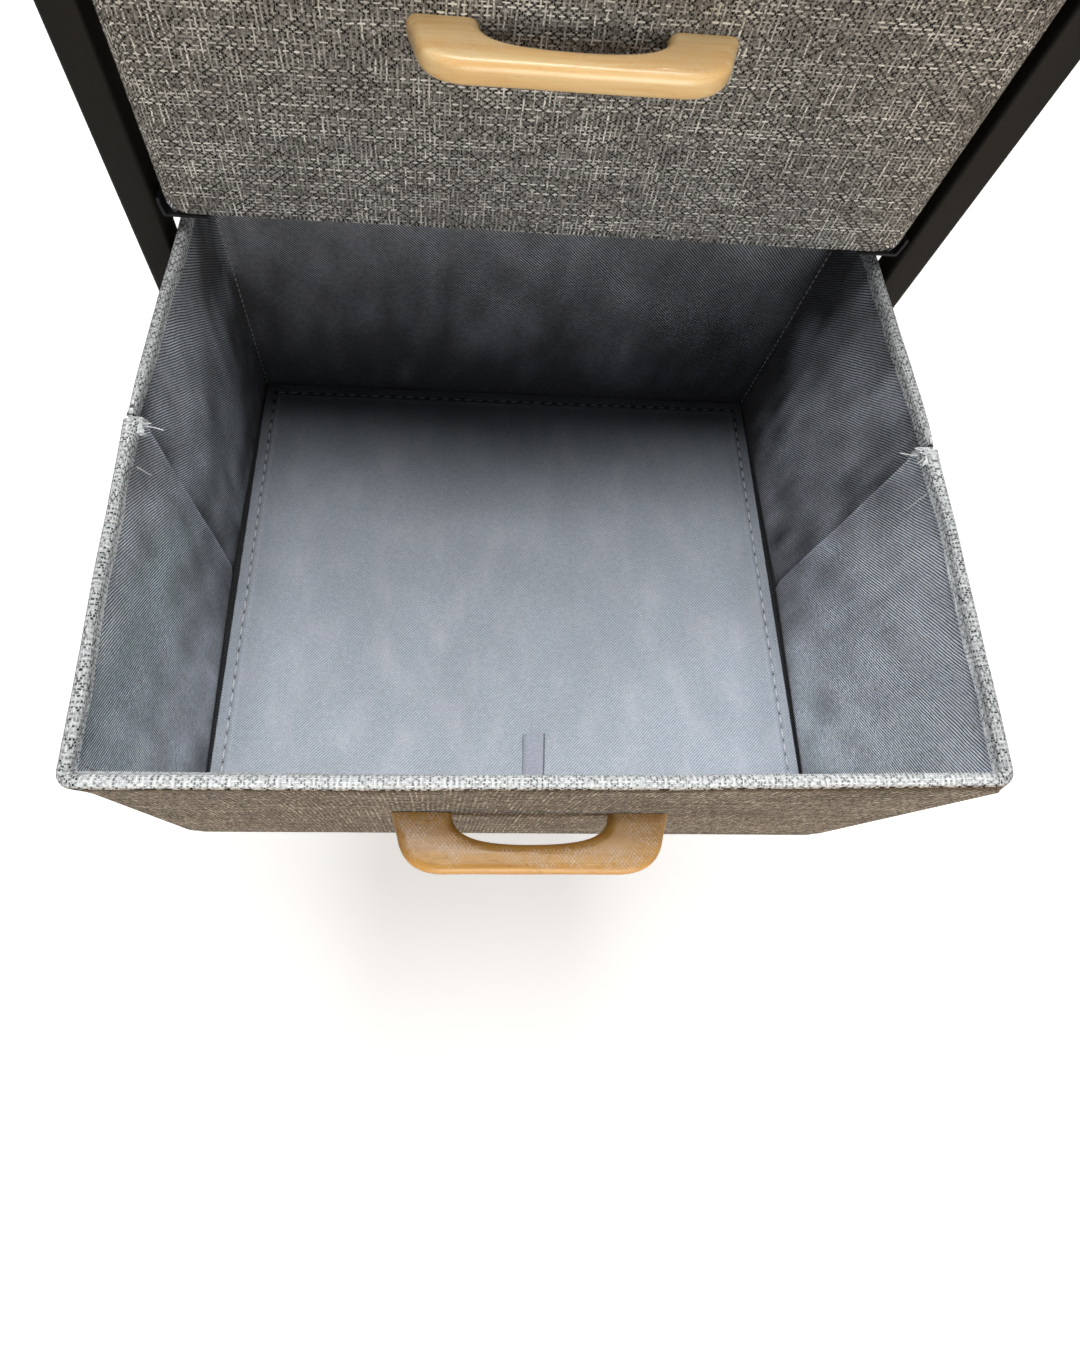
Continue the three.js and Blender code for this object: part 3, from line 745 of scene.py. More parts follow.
# Painted shade and painted highlight: a darker, browner copy of the beech with stronger glints, for one
# handle.
shaded_beech_finish = make_wood(
    "beech_painted_shade", light=srgb(220, 168, 84), dark=srgb(184, 130, 54), scale=1.0, flecks=0.6,
    roughness=0.36, coat=0.3, brush_depth=2.6, painted_glint=0.7,
)
top_finish = make_wood(
    "top_board", light=srgb(206, 168, 122), dark=srgb(160, 118, 76), scale=0.35, flecks=0.6,
    roughness=0.42, coat=0.0, brush_depth=0.0, painted_glint=0.0,
)
steel_finish = make_coat("powder_coat", srgb(21, 19, 16), 0.5, 0.7 * MM, 0.03, 0.05 * MM)
runner_finish = make_coat("runner_coat", srgb(34, 34, 38), 0.36, 0.7 * MM, 0.05, 0.03 * MM)
zinc_finish = make_coat("zinc_plate", srgb(182, 184, 188), 0.32, 0.9 * MM, 0.0, 0.02 * MM, metallic=1.0)
plastic_finish = make_coat("moulded_foot", srgb(26, 26, 27), 0.5, 0.5 * MM, 0.05, 0.05 * MM)
hardboard_finish = make_coat("brown_board", srgb(116, 88, 60), 0.8, 1.2 * MM, 0.0, 0.15 * MM)
fray_finish = make_thread("frayed_thread", srgb(238, 242, 243))
print("finishes:", [m.name for m in bpy.data.materials])

# %% [markdown]
# ## Tools for shaping
# Most pieces start as a box, whose edges are rounded and whose faces are sliced where
# they have to bend. These helpers wrap the operators with the settings that the editor
# would use. Curves and boolean cuts are baked into plain meshes, so that nothing is left to
# be worked out later.

# %% Shaping helpers
TINY = 1e-6
ACROSS, BACK, UP = 0, 1, 2  # X, Y and Z
ALONG = 0.999  # the share of an edge's length that lies along the axis it runs along
LEVEL = 0.99  # the least rise of the normal of a face that looks up


def box_place(low, high):
    """The move and stretch that take a unit cube to the box between two corners."""
    return Matrix.Translation((low + high) / 2) @ Matrix.Diagonal((*(high - low), 1))


def box_between(low, high):
    """A closed box between two corners."""
    bm = bmesh.new()
    bmesh.ops.create_cube(bm, size=1, matrix=box_place(Vector(low), Vector(high)))
    return bm


def runs_along(edge, axis):
    way = edge.verts[1].co - edge.verts[0].co
    return abs(way[axis]) > ALONG * way.length


def middle(edge):
    return (edge.verts[0].co + edge.verts[1].co) / 2


def round_edges(bm, chosen, radius, segments):
    """Rounds the edges that pass a test."""
    edges = [edge for edge in bm.edges if chosen(edge)]
    bmesh.ops.bevel(
        bm, geom=edges, offset=radius, offset_type="OFFSET", segments=segments,
        profile=0.5, affect="EDGES", material=-1,
    )


def slice_at(bm, axis, places):
    """Cuts new edge loops across one axis."""
    normal = Vector([float(axis == other) for other in range(3)])
    for place in places:
        everything = bm.verts[:] + bm.edges[:] + bm.faces[:]
        bmesh.ops.bisect_plane(bm, geom=everything, dist=TINY, plane_co=normal * place, plane_no=normal)


def spaced(low, high, step):
    """Evenly spaced places between two ends, about a step apart."""
    count = max(1, round((high - low) / step))
    return [low + (high - low) * i / count for i in range(count + 1)]


def faces_up(face):
    return face.normal.z > LEVEL


def largest_face_up(bm):
    bm.normal_update()
    return max(filter(faces_up, bm.faces), key=lambda face: face.calc_area())


def new_points(made):
    """The points among what an operator has made."""
    return [item for item in made["geom"] if isinstance(item, bmesh.types.BMVert)]


def baked_mesh(holder):
    """The finished mesh of a curve, or of an object with modifiers."""
    bpy.context.view_layer.update()
    graph = bpy.context.evaluated_depsgraph_get()
    return bpy.data.meshes.new_from_object(holder.evaluated_get(graph))


def mesh_from_curve(curve):
    """Turns a curve into a mesh, and removes the curve."""
    holder = place_in_scene(curve.name, curve)
    mesh = baked_mesh(holder)
    bpy.data.objects.remove(holder)
    bpy.data.curves.remove(curve)
    return mesh


print("shaping tools ready")

# %% [markdown]
# A finished shape then becomes a piece of the dresser: its object sits at the origin, rides
# on a CAD body and hides the CAD nodes it stands for. Real pieces are never quite even, so
# smooth noise with a fixed seed bends each one a little, the same way at each run.

# %% Pieces, noise and ramps
def piece_from_mesh(mesh, name, body, finishes, stands_for=(), sharp=40):
    """Places a mesh in the scene as a piece of the dresser."""
    mesh.name = name
    for finish in finishes:
        mesh.materials.append(finish)
    mesh.shade_smooth()
    mesh.set_sharp_from_angle(angle=math.radians(sharp))
    piece = place_in_scene(name, mesh)
    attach(piece, body)
    if stands_for:
        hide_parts(*stands_for)
    return piece


def piece_from_bmesh(bm, name, body, finishes, stands_for=(), sharp=40):
    """The same for a shape that is still a bmesh."""
    mesh = bpy.data.meshes.new(name)
    bm.to_mesh(mesh)
    bm.free()
    return piece_from_mesh(mesh, name, body, finishes, stands_for, sharp)


def wander(point, size, seed):
    """Smooth noise from -1 to 1, whose waves are about a size long."""
    return noise.noise(point / size + Vector((seed * 7.3, seed * 3.1, seed * 11.7)))


def ramp(value, low, high):
    """Rises smoothly from 0 at low to 1 at high."""
    share = min(max((value - low) / (high - low), 0), 1)
    return share * share * (3 - 2 * share)


def hump(value, place, width):
    """1 at a place, and down to 0 on both sides of it."""
    return math.exp(-((value - place) / width) ** 2)


print("piece tools ready")

# %% [markdown]
# ## The bins
# Each bin is card panels sewn into linen outside and grey twill inside, with a folded hem
# round the rim. The side walls fold at half their depth, so that the bin can be packed
# flat, and they keep that crease. Cloth simulation suits loose cloth, but this cloth is
# glued tight over card, so the bin is modelled as a joiner would: a block is rounded, its
# top is sunk, and then a few millimetres of crease, step and ripple are pushed into it.

# %% Sizes of a bin
bin_low, bin_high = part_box("drawer_1_bin")
CREASE_OUT = 2.5 * MM
HALF_WIDTH = (bin_high.x - bin_low.x) / 2 - CREASE_OUT
BIN_DEPTH = bin_high.y - bin_low.y
BIN_HEIGHT = bin_high.z - bin_low.z
HALF_DEPTH = BIN_DEPTH / 2
CORNER = 6.5 * MM
LOWER_ROUND = 9 * MM
RIM_ROUND = 2.4 * MM
FLOOR = 3 * MM
HEM_THICKNESS = 5.3 * MM
HEM_DEPTH = 6.5 * MM
HEM_LOW = BIN_HEIGHT - HEM_DEPTH
HEM_STEP = 0.8 * MM
MID_WALL = HEM_THICKNESS / 2
WALL_BAND = HEM_THICKNESS + 2 * MM  # what lies this near the outside belongs to the wall
print("bin", in_mm((HALF_WIDTH * 2, BIN_DEPTH, BIN_HEIGHT)), "mm")

# %% [markdown]
# ### The block
# A bin could be built wall by wall, but then its corners would have to be sewn together by
# hand. As one block they are closed from the start. Bevels round its lower edges and its
# upright corners. The top face is inset by the thickness of a wall and pushed down in three
# moves: the depth of the hem, a small step out under it, and the rest, down to the floor.
# Each face then gets its cloth by its place. Last, loops are cut in, close together at the
# crease, since only points can be moved.

# %% The block, its hem and its inside
LINEN, HEM, LINING = 0, 1, 2
CREASE_LOOPS = (-8, -5, -3, -1.6, -0.7, -0.1, 0.1, 0.7, 1.6, 3, 5, 8)  # mm from the crease


def bin_block():
    """The bin as a closed tub: rounded, hemmed and hollowed."""
    bm = box_between((-HALF_WIDTH, 0, 0), (HALF_WIDTH, BIN_DEPTH, BIN_HEIGHT))
    round_edges(bm, lambda e: runs_along(e, BACK) and middle(e).z < TINY, LOWER_ROUND, 6)

    def on_outline(edge):
        front = all(v.co.y < TINY for v in edge.verts)
        rear = all(v.co.y > BIN_DEPTH - TINY for v in edge.verts)
        return (front or rear) and middle(edge).z < BIN_HEIGHT - TINY

    round_edges(bm, on_outline, CORNER, 4)
    bmesh.ops.inset_region(
        bm, faces=[largest_face_up(bm)], thickness=HEM_THICKNESS, use_even_offset=True
    )
    inner_x, inner_y = HALF_WIDTH - HEM_THICKNESS, HALF_DEPTH - HEM_THICKNESS
    sink(bm, HEM_DEPTH)
    sink(bm, 0, (1 + HEM_STEP / inner_x, 1 + HEM_STEP / inner_y))
    sink(bm, HEM_LOW - FLOOR)
    mark_cloths(bm)
    round_rim(bm)
    return bm


def sink(bm, drop, spread=(1, 1)):
    """Extrudes the largest face that looks up straight down, and may spread it in X and Y."""
    face = largest_face_up(bm)
    made = bmesh.ops.extrude_face_region(bm, geom=[face])
    if face.is_valid:
        bmesh.ops.delete(bm, geom=[face], context="FACES_ONLY")
    corners = new_points(made)
    bmesh.ops.translate(bm, verts=corners, vec=(0, 0, -drop))
    about = Matrix.Translation((0, -HALF_DEPTH, 0))
    bmesh.ops.scale(bm, verts=corners, vec=(*spread, 1), space=about)


def depth_into_wall(point):
    """How far a point lies in from the bin's outer faces, seen from above."""
    return min(HALF_WIDTH - abs(point.x), point.y, BIN_DEPTH - point.y)


def mark_cloths(bm):
    """Linen outside, the hem over the rim, and lining inside."""
    for face in bm.faces:
        centre = face.calc_center_median()
        inside = depth_into_wall(centre) > HEM_THICKNESS / 4
        if not inside or centre.z < FLOOR / 2:
            face.material_index = LINEN
        elif centre.z > HEM_LOW + TINY:
            face.material_index = HEM
        else:
            face.material_index = LINING


def round_rim(bm):
    """Rounds the hem's two upper edges, so that it looks folded."""
    def is_rim(edge):
        flat = [faces_up(face) for face in edge.link_faces]
        return middle(edge).z > BIN_HEIGHT - TINY and flat.count(True) == 1

    round_edges(bm, is_rim, RIM_ROUND, 4)
    for face in bm.faces:
        if face.calc_center_median().z > BIN_HEIGHT - RIM_ROUND:
            face.material_index = HEM


def slice_bin(bm):
    """Adds the loops that let the walls ripple and crease."""
    slice_at(bm, ACROSS, spaced(-HALF_WIDTH + 12 * MM, HALF_WIDTH - 12 * MM, 9 * MM))
    slice_at(bm, ACROSS, [0])
    slice_at(bm, BACK, spaced(10 * MM, HALF_DEPTH - 12 * MM, 8 * MM))
    slice_at(bm, BACK, [HALF_DEPTH + place * MM for place in CREASE_LOOPS])
    slice_at(bm, BACK, spaced(HALF_DEPTH + 12 * MM, BIN_DEPTH - 10 * MM, 8 * MM))
    slice_at(bm, UP, [FLOOR + 3.2 * MM, FLOOR + 5 * MM])
    slice_at(bm, UP, spaced(12 * MM, BIN_HEIGHT - 14 * MM, 8 * MM))


trial = bin_block()
slice_bin(trial)
open_edges = [edge for edge in trial.edges if not edge.is_manifold]
print("bin:", len(trial.faces), "faces,", len(open_edges), "open edges")
trial.free()

# %% [markdown]
# ### The map of the cloth
# The weave has to follow the cloth: round the corners, up the wall, over the hem and down
# inside. So each corner of each face gets its place on the cloth in metres. Across, that is
# the way round the bin from the middle of its front. Up, it is the way up the wall, over
# the hem and down again. It is worked out before the cloth is pushed about, so the pattern
# moves with the folds.

# %% The cloth's own map
def of_side_wall(centre):
    """Whether a face belongs to a side wall, by its middle."""
    return HALF_WIDTH - abs(centre.x) < min(centre.y, BIN_DEPTH - centre.y)


def way_round(point, centre, corner):
    """The distance round the bin from the middle of its front."""
    side = math.copysign(1, centre.x)
    x = abs(point.x)
    whole = 2 * HALF_WIDTH + BIN_DEPTH
    start = HALF_WIDTH - corner
    for near, at_rear in ((point.y, False), (BIN_DEPTH - point.y, True)):
        if x > start and near < corner:
            share = math.atan2(x - start, corner - near) / (math.pi / 2)
            along = start + 2 * corner * share
            return side * (whole - along if at_rear else along)
    if of_side_wall(centre):
        return side * (HALF_WIDTH + point.y)
    return side * (x if centre.y < HALF_DEPTH else whole - x)


def map_bin(bm, shift):
    """Writes the cloth map of a bin."""
    layer = bm.loops.layers.uv.new("cloth")
    bm.normal_update()
    for face in bm.faces:
        centre = face.calc_center_median()
        lies_flat = abs(face.normal.z) > 0.75 and centre.z < BIN_HEIGHT / 2
        for loop in face.loops:
            point = loop.vert.co
            inward = max(depth_into_wall(point), 0)
            corner = max(CORNER - inward, CORNER / 6)
            if lies_flat:
                place = (point.x, point.y)
            elif face.material_index == LINING:
                place = (point.y if of_side_wall(centre) else point.x, point.z)
            else:
                fold = math.copysign(1, inward - MID_WALL)
                climb = BIN_HEIGHT + inward + fold * (BIN_HEIGHT - point.z)
                place = (way_round(point, centre, corner), climb)
            loop[layer].uv = (place[0] + shift.x, place[1] + shift.y)


print("cloth map ready")

# %% [markdown]
# ### Folds
# The side walls bend out to the crease. Inside, the front half ends there in a thin lip,
# and the rear half starts a little further out, in its shade. The hem can't follow such a
# tight fold, so it kinks and the rear end rides over the front end. Hands have pulled the
# rims a little out of line, each one in its own way. Each of these moves is a function of
# the place alone, so that the moves can be judged and changed one by one.

# %% Creases and ripples
RIM_BULGE = 2.6 * MM  # how much further the crease stands out at the rim
LIP_IN, LIP_REACH = 3.0 * MM, 7 * MM
GROOVE_OUT, GROOVE_REACH = 2.8 * MM, 9 * MM
# Moves of the hem, out and up: at the crease itself, just behind it and just in front of it.
NOTCH_HALF = 0.8 * MM
HEM_NOTCH = (-1.1 * MM, -1.3 * MM)
HEM_REAR, REAR_REACH = (-2.2 * MM, 0.9 * MM), 8 * MM
HEM_FRONT, FRONT_REACH = (0.5 * MM, -0.3 * MM), 9 * MM


def crease_push(point, inward):
    """How far the side wall moves out at a point."""
    bend = max(0, 1 - abs(point.y - HALF_DEPTH) / (HALF_DEPTH - CORNER))
    reach = ramp(abs(point.x), HALF_WIDTH - 45 * MM, HALF_WIDTH - 8 * MM)
    push = (CREASE_OUT + RIM_BULGE * (point.z / BIN_HEIGHT) ** 1.5) * bend * reach
    past = point.y - HALF_DEPTH
    if inward > MID_WALL and point.z > FLOOR + TINY:
        tall = ramp(point.z, FLOOR, 24 * MM)
        if past < -TINY:
            push -= LIP_IN * math.exp(past / LIP_REACH) * tall * reach
        elif past > TINY:
            push += GROOVE_OUT * math.exp(-past / GROOVE_REACH) * tall * reach
    return push


def hem_kink(point):
    """The hem's notch and step at the crease, as a move out and up."""
    past = point.y - HALF_DEPTH
    if abs(past) < NOTCH_HALF:
        return HEM_NOTCH
    (out, up), reach = (HEM_REAR, REAR_REACH) if past > 0 else (HEM_FRONT, FRONT_REACH)
    fade = math.exp(-abs(past) / reach)
    return out * fade, up * fade


def side_push(point, inward, high, seed):
    """How far a side wall moves out, with its crease and its ripples."""
    upright = Vector((point.x, point.y, point.z * 0.35))
    ripple = 0.6 * wander(upright, 30 * MM, seed) + 0.3 * wander(upright, 12 * MM, seed + 5)
    mid_side = ramp(min(point.y, BIN_DEPTH - point.y), CORNER, 40 * MM)
    loose = 2.2 if inward > MID_WALL else 0.6
    return crease_push(point, inward) + ripple * loose * high * mid_side * MM


def front_push(point, high, seed):
    """How far the front or the rear wall moves back, with its ripples."""
    facing = -1 if point.y < HALF_DEPTH else 1
    ripple = 0.5 * wander(point, 60 * MM, seed + 9) + 0.2 * wander(point, 20 * MM, seed + 3)
    mid_front = ramp(HALF_WIDTH - abs(point.x), CORNER, 50 * MM)
    return facing * ripple * high * mid_front * MM * 0.7


def rim_lean(point, lean):
    """How far a front rim has been pulled forward on its left and pushed back on its right."""
    share = point.x / HALF_WIDTH
    pull = (-1.5 + 2.2 * share + 0.9 * share * share) * lean * MM
    near_front = 1 - ramp(point.y, 0, 110 * MM)
    return pull * near_front * (point.z / BIN_HEIGHT) ** 6


print("folds ready")

# %% [markdown]
# ### Painted light and shade, and room for the front board
# The shade could be painted by hand, but here it follows simple rules, and it is painted
# light and shade: pale on the lip, towards the rim and towards the front, and painted shade in
# the fold, along the floor and towards the rear, with streaks and clouds of noise over it. A
# stiff board stands inside each front wall, and the cloths on both its sides are kept clear
# of it.

# %% Painted light and shade, and room for the front board
FLOOR_LINE = 4 * MM  # how high the painted shade round the floor reaches
DARKEST = 0.05
REAR_PAINTED_SHADE = 75 * MM  # how far in front of the rear wall the painted shade under the closed drawers starts
LEFT_PAINTED_LIGHT, RIGHT_PAINTED_LIGHT = (0.25, 0.08), (0.43, 0.14)  # painted light in front, and painted shade behind


def wall_shade(point, on_side):
    """The lining's painted light and shade: light towards the rim, the front and on the lip; shade in
    the fold, along the floor and towards the rear; with noise streaks over it.
    """
    if point.z < FLOOR + FLOOR_LINE:
        return DARKEST
    height = point.z / BIN_HEIGHT
    shade = 0.5 + 0.2 * (height - 0.5) - 0.12 * math.exp(-(point.z - FLOOR) / (5 * MM))
    shade -= 0.36 * ramp(point.y, BIN_DEPTH - REAR_PAINTED_SHADE, BIN_DEPTH - 6 * MM)
    past = point.y - HALF_DEPTH
    if on_side:
        lit, shaded_behind = LEFT_PAINTED_LIGHT if point.x < 0 else RIGHT_PAINTED_LIGHT
        shade += lit * ramp(-past, -5 * MM, 70 * MM) - shaded_behind * ramp(past, 0, HALF_DEPTH)
        # Painted shade in the fold behind the crease, and a painted highlight on the lip.
        if past > TINY:
            shade -= 0.44 * math.exp(-past / (12 * MM)) * (0.6 + 0.4 * height)
        elif past < -TINY:
            shade += 0.25 * math.exp(past / (1.1 * MM)) + 0.04 * math.exp(past / (20 * MM))
    streak = wander(Vector((point.x, point.y, point.z * 0.3)), 9 * MM, 17)
    worn = 0.15 * wander(point, 26 * MM, 31) + 0.24 * wander(point, 48 * MM, 23) + 0.28 * streak
    return max(shade + worn * (1.0 if on_side else 0.3), DARKEST + 0.01)


def rim_shade(point, inward, on_side):
    """Nought at the hem's outer lower edge, for needle holes painted dark as the shade in them; painted
    shade along the sides and painted light along the front.
    """
    if inward < 0.6 * MM and point.z < BIN_HEIGHT - 1.2 * MM:
        return 0.0
    return 0.42 if on_side else 0.53


def cloth_shade(point, inward, on_side, linen_shade):
    """The shade of a point of the hem, of the linen or of the lining."""
    if point.z > BIN_HEIGHT - RIM_ROUND - 0.1 * MM:
        return rim_shade(point, inward, on_side)
    return linen_shade if inward < MID_WALL else wall_shade(point, on_side)


front_board_low, front_board_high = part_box("drawer_1_front_board")
LINEN_LIMIT = front_board_low.y - bin_low.y - 0.3 * MM
LINING_LIMIT = front_board_high.y - bin_low.y + 0.4 * MM


def clear_of_front_board(y, point, inward):
    """Keeps the linen and the lining of the front wall clear of the board between them."""
    if point.y > WALL_BAND or point.z > BIN_HEIGHT - 3 * MM:
        return y
    return max(y, LINING_LIMIT) if inward > MID_WALL else min(y, LINEN_LIMIT)


print("room for the front board, from the bin's front:", in_mm((LINEN_LIMIT, LINING_LIMIT)), "mm")

# %% [markdown]
# ### The four bins
# Each bin starts from the block again and gets its own seed, lean and linen shade, so that
# no two are quite alike; the linen shade is a painted warm shade, strongest on the second
# bin. The order matters: cut the loops, write the map, and only then fold.

# %% The four bins
RIM_LEANS = (0.3, 1.0, -0.2, 0.4)  # the second drawer has been pulled at most
LINEN_PAINTED_SHADES = (0.5, 0.37, 0.46, 0.5)  # painted warm shade of each bin's linen, strongest on the second; half leaves the linen as it is


def fold_bin(bm, seed, lean, linen_shade):
    """Pushes the crease, the ripples and the lean into a bin, and writes its shade."""
    shades = bm.verts.layers.float.new("shade")
    for vert in bm.verts:
        point = vert.co.copy()
        inward = depth_into_wall(point)
        side = math.copysign(1, point.x)
        high = ramp(point.z, 12 * MM, BIN_HEIGHT * 0.8)
        in_hem = ramp(point.z, HEM_LOW, BIN_HEIGHT)
        on_side = HALF_WIDTH - abs(point.x) < WALL_BAND
        vert[shades] = cloth_shade(point, inward, on_side, linen_shade)
        if on_side:
            vert.co.x += side * side_push(point, inward, high, seed)
        elif point.z < FLOOR + TINY:
            vert.co.x += side * crease_push(point, inward)
        if not on_side and inward < WALL_BAND:
            vert.co.y += front_push(point, high, seed)
        if point.z > HEM_LOW - TINY:
            out, up = hem_kink(point) if on_side else (0, 0)
            wave = 0.5 * wander(point, 36 * MM, seed + 2) + 0.15 * wander(point, 9 * MM, seed + 4)
            vert.co.x += side * out
            vert.co.z += (up + wave * MM) * in_hem
        vert.co.y = clear_of_front_board(vert.co.y + rim_lean(point, lean), point, inward)


bins = []
for number, lean, linen_shade in zip(drawers, RIM_LEANS, LINEN_PAINTED_SHADES):
    node = f"drawer_{number}_bin"
    bm = bin_block()
    slice_bin(bm)
    map_bin(bm, Vector((0.37 * number, 0.21 * number)))
    fold_bin(bm, number, lean, linen_shade)
    low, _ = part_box(node)
    bmesh.ops.translate(bm, verts=bm.verts[:], vec=(0, low.y, low.z))
    cloths = [linen_finish, hem_finish, wall_finish]
    piece = piece_from_bmesh(
        bm, f"bin_cloth_{number}", f"drawer_{number}", cloths, [node], sharp=50
    )
    bins.append(piece)
print("bins:", [len(piece.data.polygons) for piece in bins], "faces")

# %% [markdown]
# ## The base boards
# A loose card board covered in the same twill lies on each bin's floor. Its cover is
# sewn all round, 6.5 mm in from the edge, and the seam pulls the cloth down there. It is a
# box whose top is sliced finely near its edges, and the seam is then pressed into it.

# %% Base boards
SEAM_IN = 6.5 * MM  # from the board's edge to its stitch line
RIDGE_IN = 9.6 * MM
PUCKER_PITCH = 5 * MM
EDGE_LOOPS = (2, 3.5, 5, 6, 6.5, 7, 8, 8.8, 9.6, 10.4, 12)  # mm from the board's edge
THIN_SIDE_MAP = 0.12  # thin sides get so little of the map that they show no ribs


def map_flat(bm, shift):
    """A plain cloth map for boards and tapes, chosen by which way each face looks."""
    layer = bm.loops.layers.uv.new("cloth")
    bm.normal_update()
    for face in bm.faces:
        look = [abs(value) for value in face.normal]
        skip = look.index(max(look))
        share = 1 if skip == UP else THIN_SIDE_MAP
        for loop in face.loops:
            kept = [value for axis, value in enumerate(loop.vert.co) if axis != skip]
            loop[layer].uv = (kept[0] * share + shift.x, kept[1] * share + shift.y)


def board_inset(point, low, high):
    """How far a point lies in from the board's nearest edge."""
    return min(point.x - low.x, high.x - point.x, point.y - low.y, high.y - point.y)


def board_height(point, low, high, seed):
    """How far the board's cover rises or sinks at a point."""
    inset = board_inset(point, low, high)
    seam = hump(inset, SEAM_IN, 1.1 * MM)
    ridge = hump(inset, RIDGE_IN, 0.9 * MM)
    roll = 1 - ramp(inset, 0, SEAM_IN)
    wave = 0.3 * wander(point, 70 * MM, seed) + 0.12 * wander(point, 22 * MM, seed + 1)
    gathers = math.sin(2 * math.pi * (point.x + point.y) / PUCKER_PITCH)
    pucker = 0.12 * gathers * hump(inset, SEAM_IN, 4 * MM)
    return (-0.55 * seam + 0.18 * ridge - 0.5 * roll + wave * ramp(inset, 0, 30 * MM) + pucker) * MM


def board_shade(point, low, high):
    """Painted shade in the seam, down the sides and towards the rear, and a painted highlight on the
    ridge beside the seam.
    """
    inset = board_inset(point, low, high)
    seam = hump(inset, SEAM_IN, 0.7 * MM)
    ridge = hump(inset, RIDGE_IN, 0.8 * MM)
    side = ramp(high.z - point.z, 0.2 * MM, 1.5 * MM)
    rear = ramp(point.y, high.y - 110 * MM, high.y + 4 * MM)
    drift = 0.03 * wander(point, 30 * MM, 3)
    # Painted shade towards the rear, where the closed drawers shade the board; the drift is the cover's
    # own tone.
    return 0.51 - 0.16 * seam + 0.06 * ridge - 0.45 * side - 0.42 * rear + drift


def make_base_board(number):
    node = f"drawer_{number}_base_board"
    low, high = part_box(node)
    bm = box_between(low, high)
    round_edges(bm, lambda e: runs_along(e, UP), 4 * MM, 4)
    round_edges(bm, lambda e: middle(e).z > high.z - TINY, 1.2 * MM, 3)
    for axis in (ACROSS, BACK):
        slice_at(bm, axis, [low[axis] + place * MM for place in EDGE_LOOPS])
        slice_at(bm, axis, [high[axis] - place * MM for place in EDGE_LOOPS])
        slice_at(bm, axis, spaced(low[axis] + 17 * MM, high[axis] - 17 * MM, 7 * MM))
    map_flat(bm, Vector((0.11 * number, 0.07 * number)))
    shades = bm.verts.layers.float.new("shade")
    for vert in bm.verts:
        vert[shades] = board_shade(vert.co, low, high)
        if vert.co.z > high.z - TINY:
            vert.co.z += board_height(vert.co, low, high, number)
    return piece_from_bmesh(
        bm, f"base_board_{number}", f"drawer_{number}", [board_finish], [node], sharp=50
    )


boards = [make_base_board(number) for number in drawers]
print("base boards:", [len(piece.data.polygons) for piece in boards], "faces")

# %% [markdown]
# ## Stitches
# A stitch is a short thread pulled tight into the cloth, thicker in its middle than at the
# needle holes. One flattened ball, stretched and turned for each stitch, is enough, and it
# has only a few faces because there are hundreds of them. Between two stitches the thread
# has sunk into a small pit, whose shade is painted as a small dark ball. The stitches round
# a board get painted shade towards its rear. The same kind of row closes the four upright
# corners inside each bin.

# %% Stitch lines
STITCH_PITCH = 8 * MM
STITCH_LENGTH = 6.2 * MM
STITCH_THICKNESS = 1.2 * MM
CORNER_PITCH = 4.4 * MM
CORNER_LENGTH = 3.6 * MM
CORNER_THICKNESS = 1.1 * MM
PIT_SIZE = Vector((1.3, 1.2, 0.7)) * MM
THREAD, PIT = 0, 1


def add_ball(bm, place, size, material=THREAD):
    """A ball with few faces, stretched to a size."""
    matrix = place @ Matrix.Diagonal((*size, 1))
    made = bmesh.ops.create_uvsphere(bm, u_segments=6, v_segments=4, radius=0.5, matrix=matrix)
    for face in {face for vert in made["verts"] for face in vert.link_faces}:
        face.material_index = material


def sew(bm, start, end, pitch, length, thickness, seed, surface=None):
    """A row of stitches between two points; on a surface, they lie on it, with their pits."""
    start, end = Vector(start), Vector(end)
    row = end - start
    count = max(1, int(row.length / pitch))
    turn = row.to_track_quat("X", "Z").to_matrix().to_4x4()
    for i in range(count):
        spot = start + row * ((i + 0.5) / count)
        drift = wander(spot, 9 * MM, seed)
        lift = Vector((0, 0, 0))
        if surface:
            spot.z = surface(spot)
            lift.z = 0.3 * MM
            pit = spot + row / (2 * count) - Vector((0, 0, 0.15 * MM))
            add_ball(bm, Matrix.Translation(pit) @ turn, PIT_SIZE, PIT)
        lean = Matrix.Rotation(0.07 * drift, 4, "Z")
        size = (length * (1 + 0.12 * drift), thickness, thickness * 0.8)
        add_ball(bm, Matrix.Translation(spot + lift) @ turn @ lean, size)


def sew_board(number):
    """The seam round a base board, with painted shade towards the rear as on the board."""
    low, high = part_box(f"drawer_{number}_base_board")
    bm = bmesh.new()

    def surface(spot):
        return high.z + board_height(spot, low, high, number)

    left, right, front, rear = low.x + SEAM_IN, high.x - SEAM_IN, low.y + SEAM_IN, high.y - SEAM_IN
    corners = [(left, front), (right, front), (right, rear), (left, rear)]
    for (x, y), (next_x, next_y) in zip(corners, corners[1:] + corners[:1]):
        ends = (x, y, high.z), (next_x, next_y, high.z)
        sew(bm, *ends, STITCH_PITCH, STITCH_LENGTH, STITCH_THICKNESS, number, surface)
    # Painted shade towards the rear of the board.
    shades = bm.verts.layers.float.new("shade")
    for vert in bm.verts:
        vert[shades] = 0.5 - 0.4 * ramp(vert.co.y, high.y - 90 * MM, high.y)
    finishes = [thread_finish, pit_shade_finish]
    return piece_from_bmesh(
        bm, f"board_stitches_{number}", f"drawer_{number}", finishes, sharp=80
    )


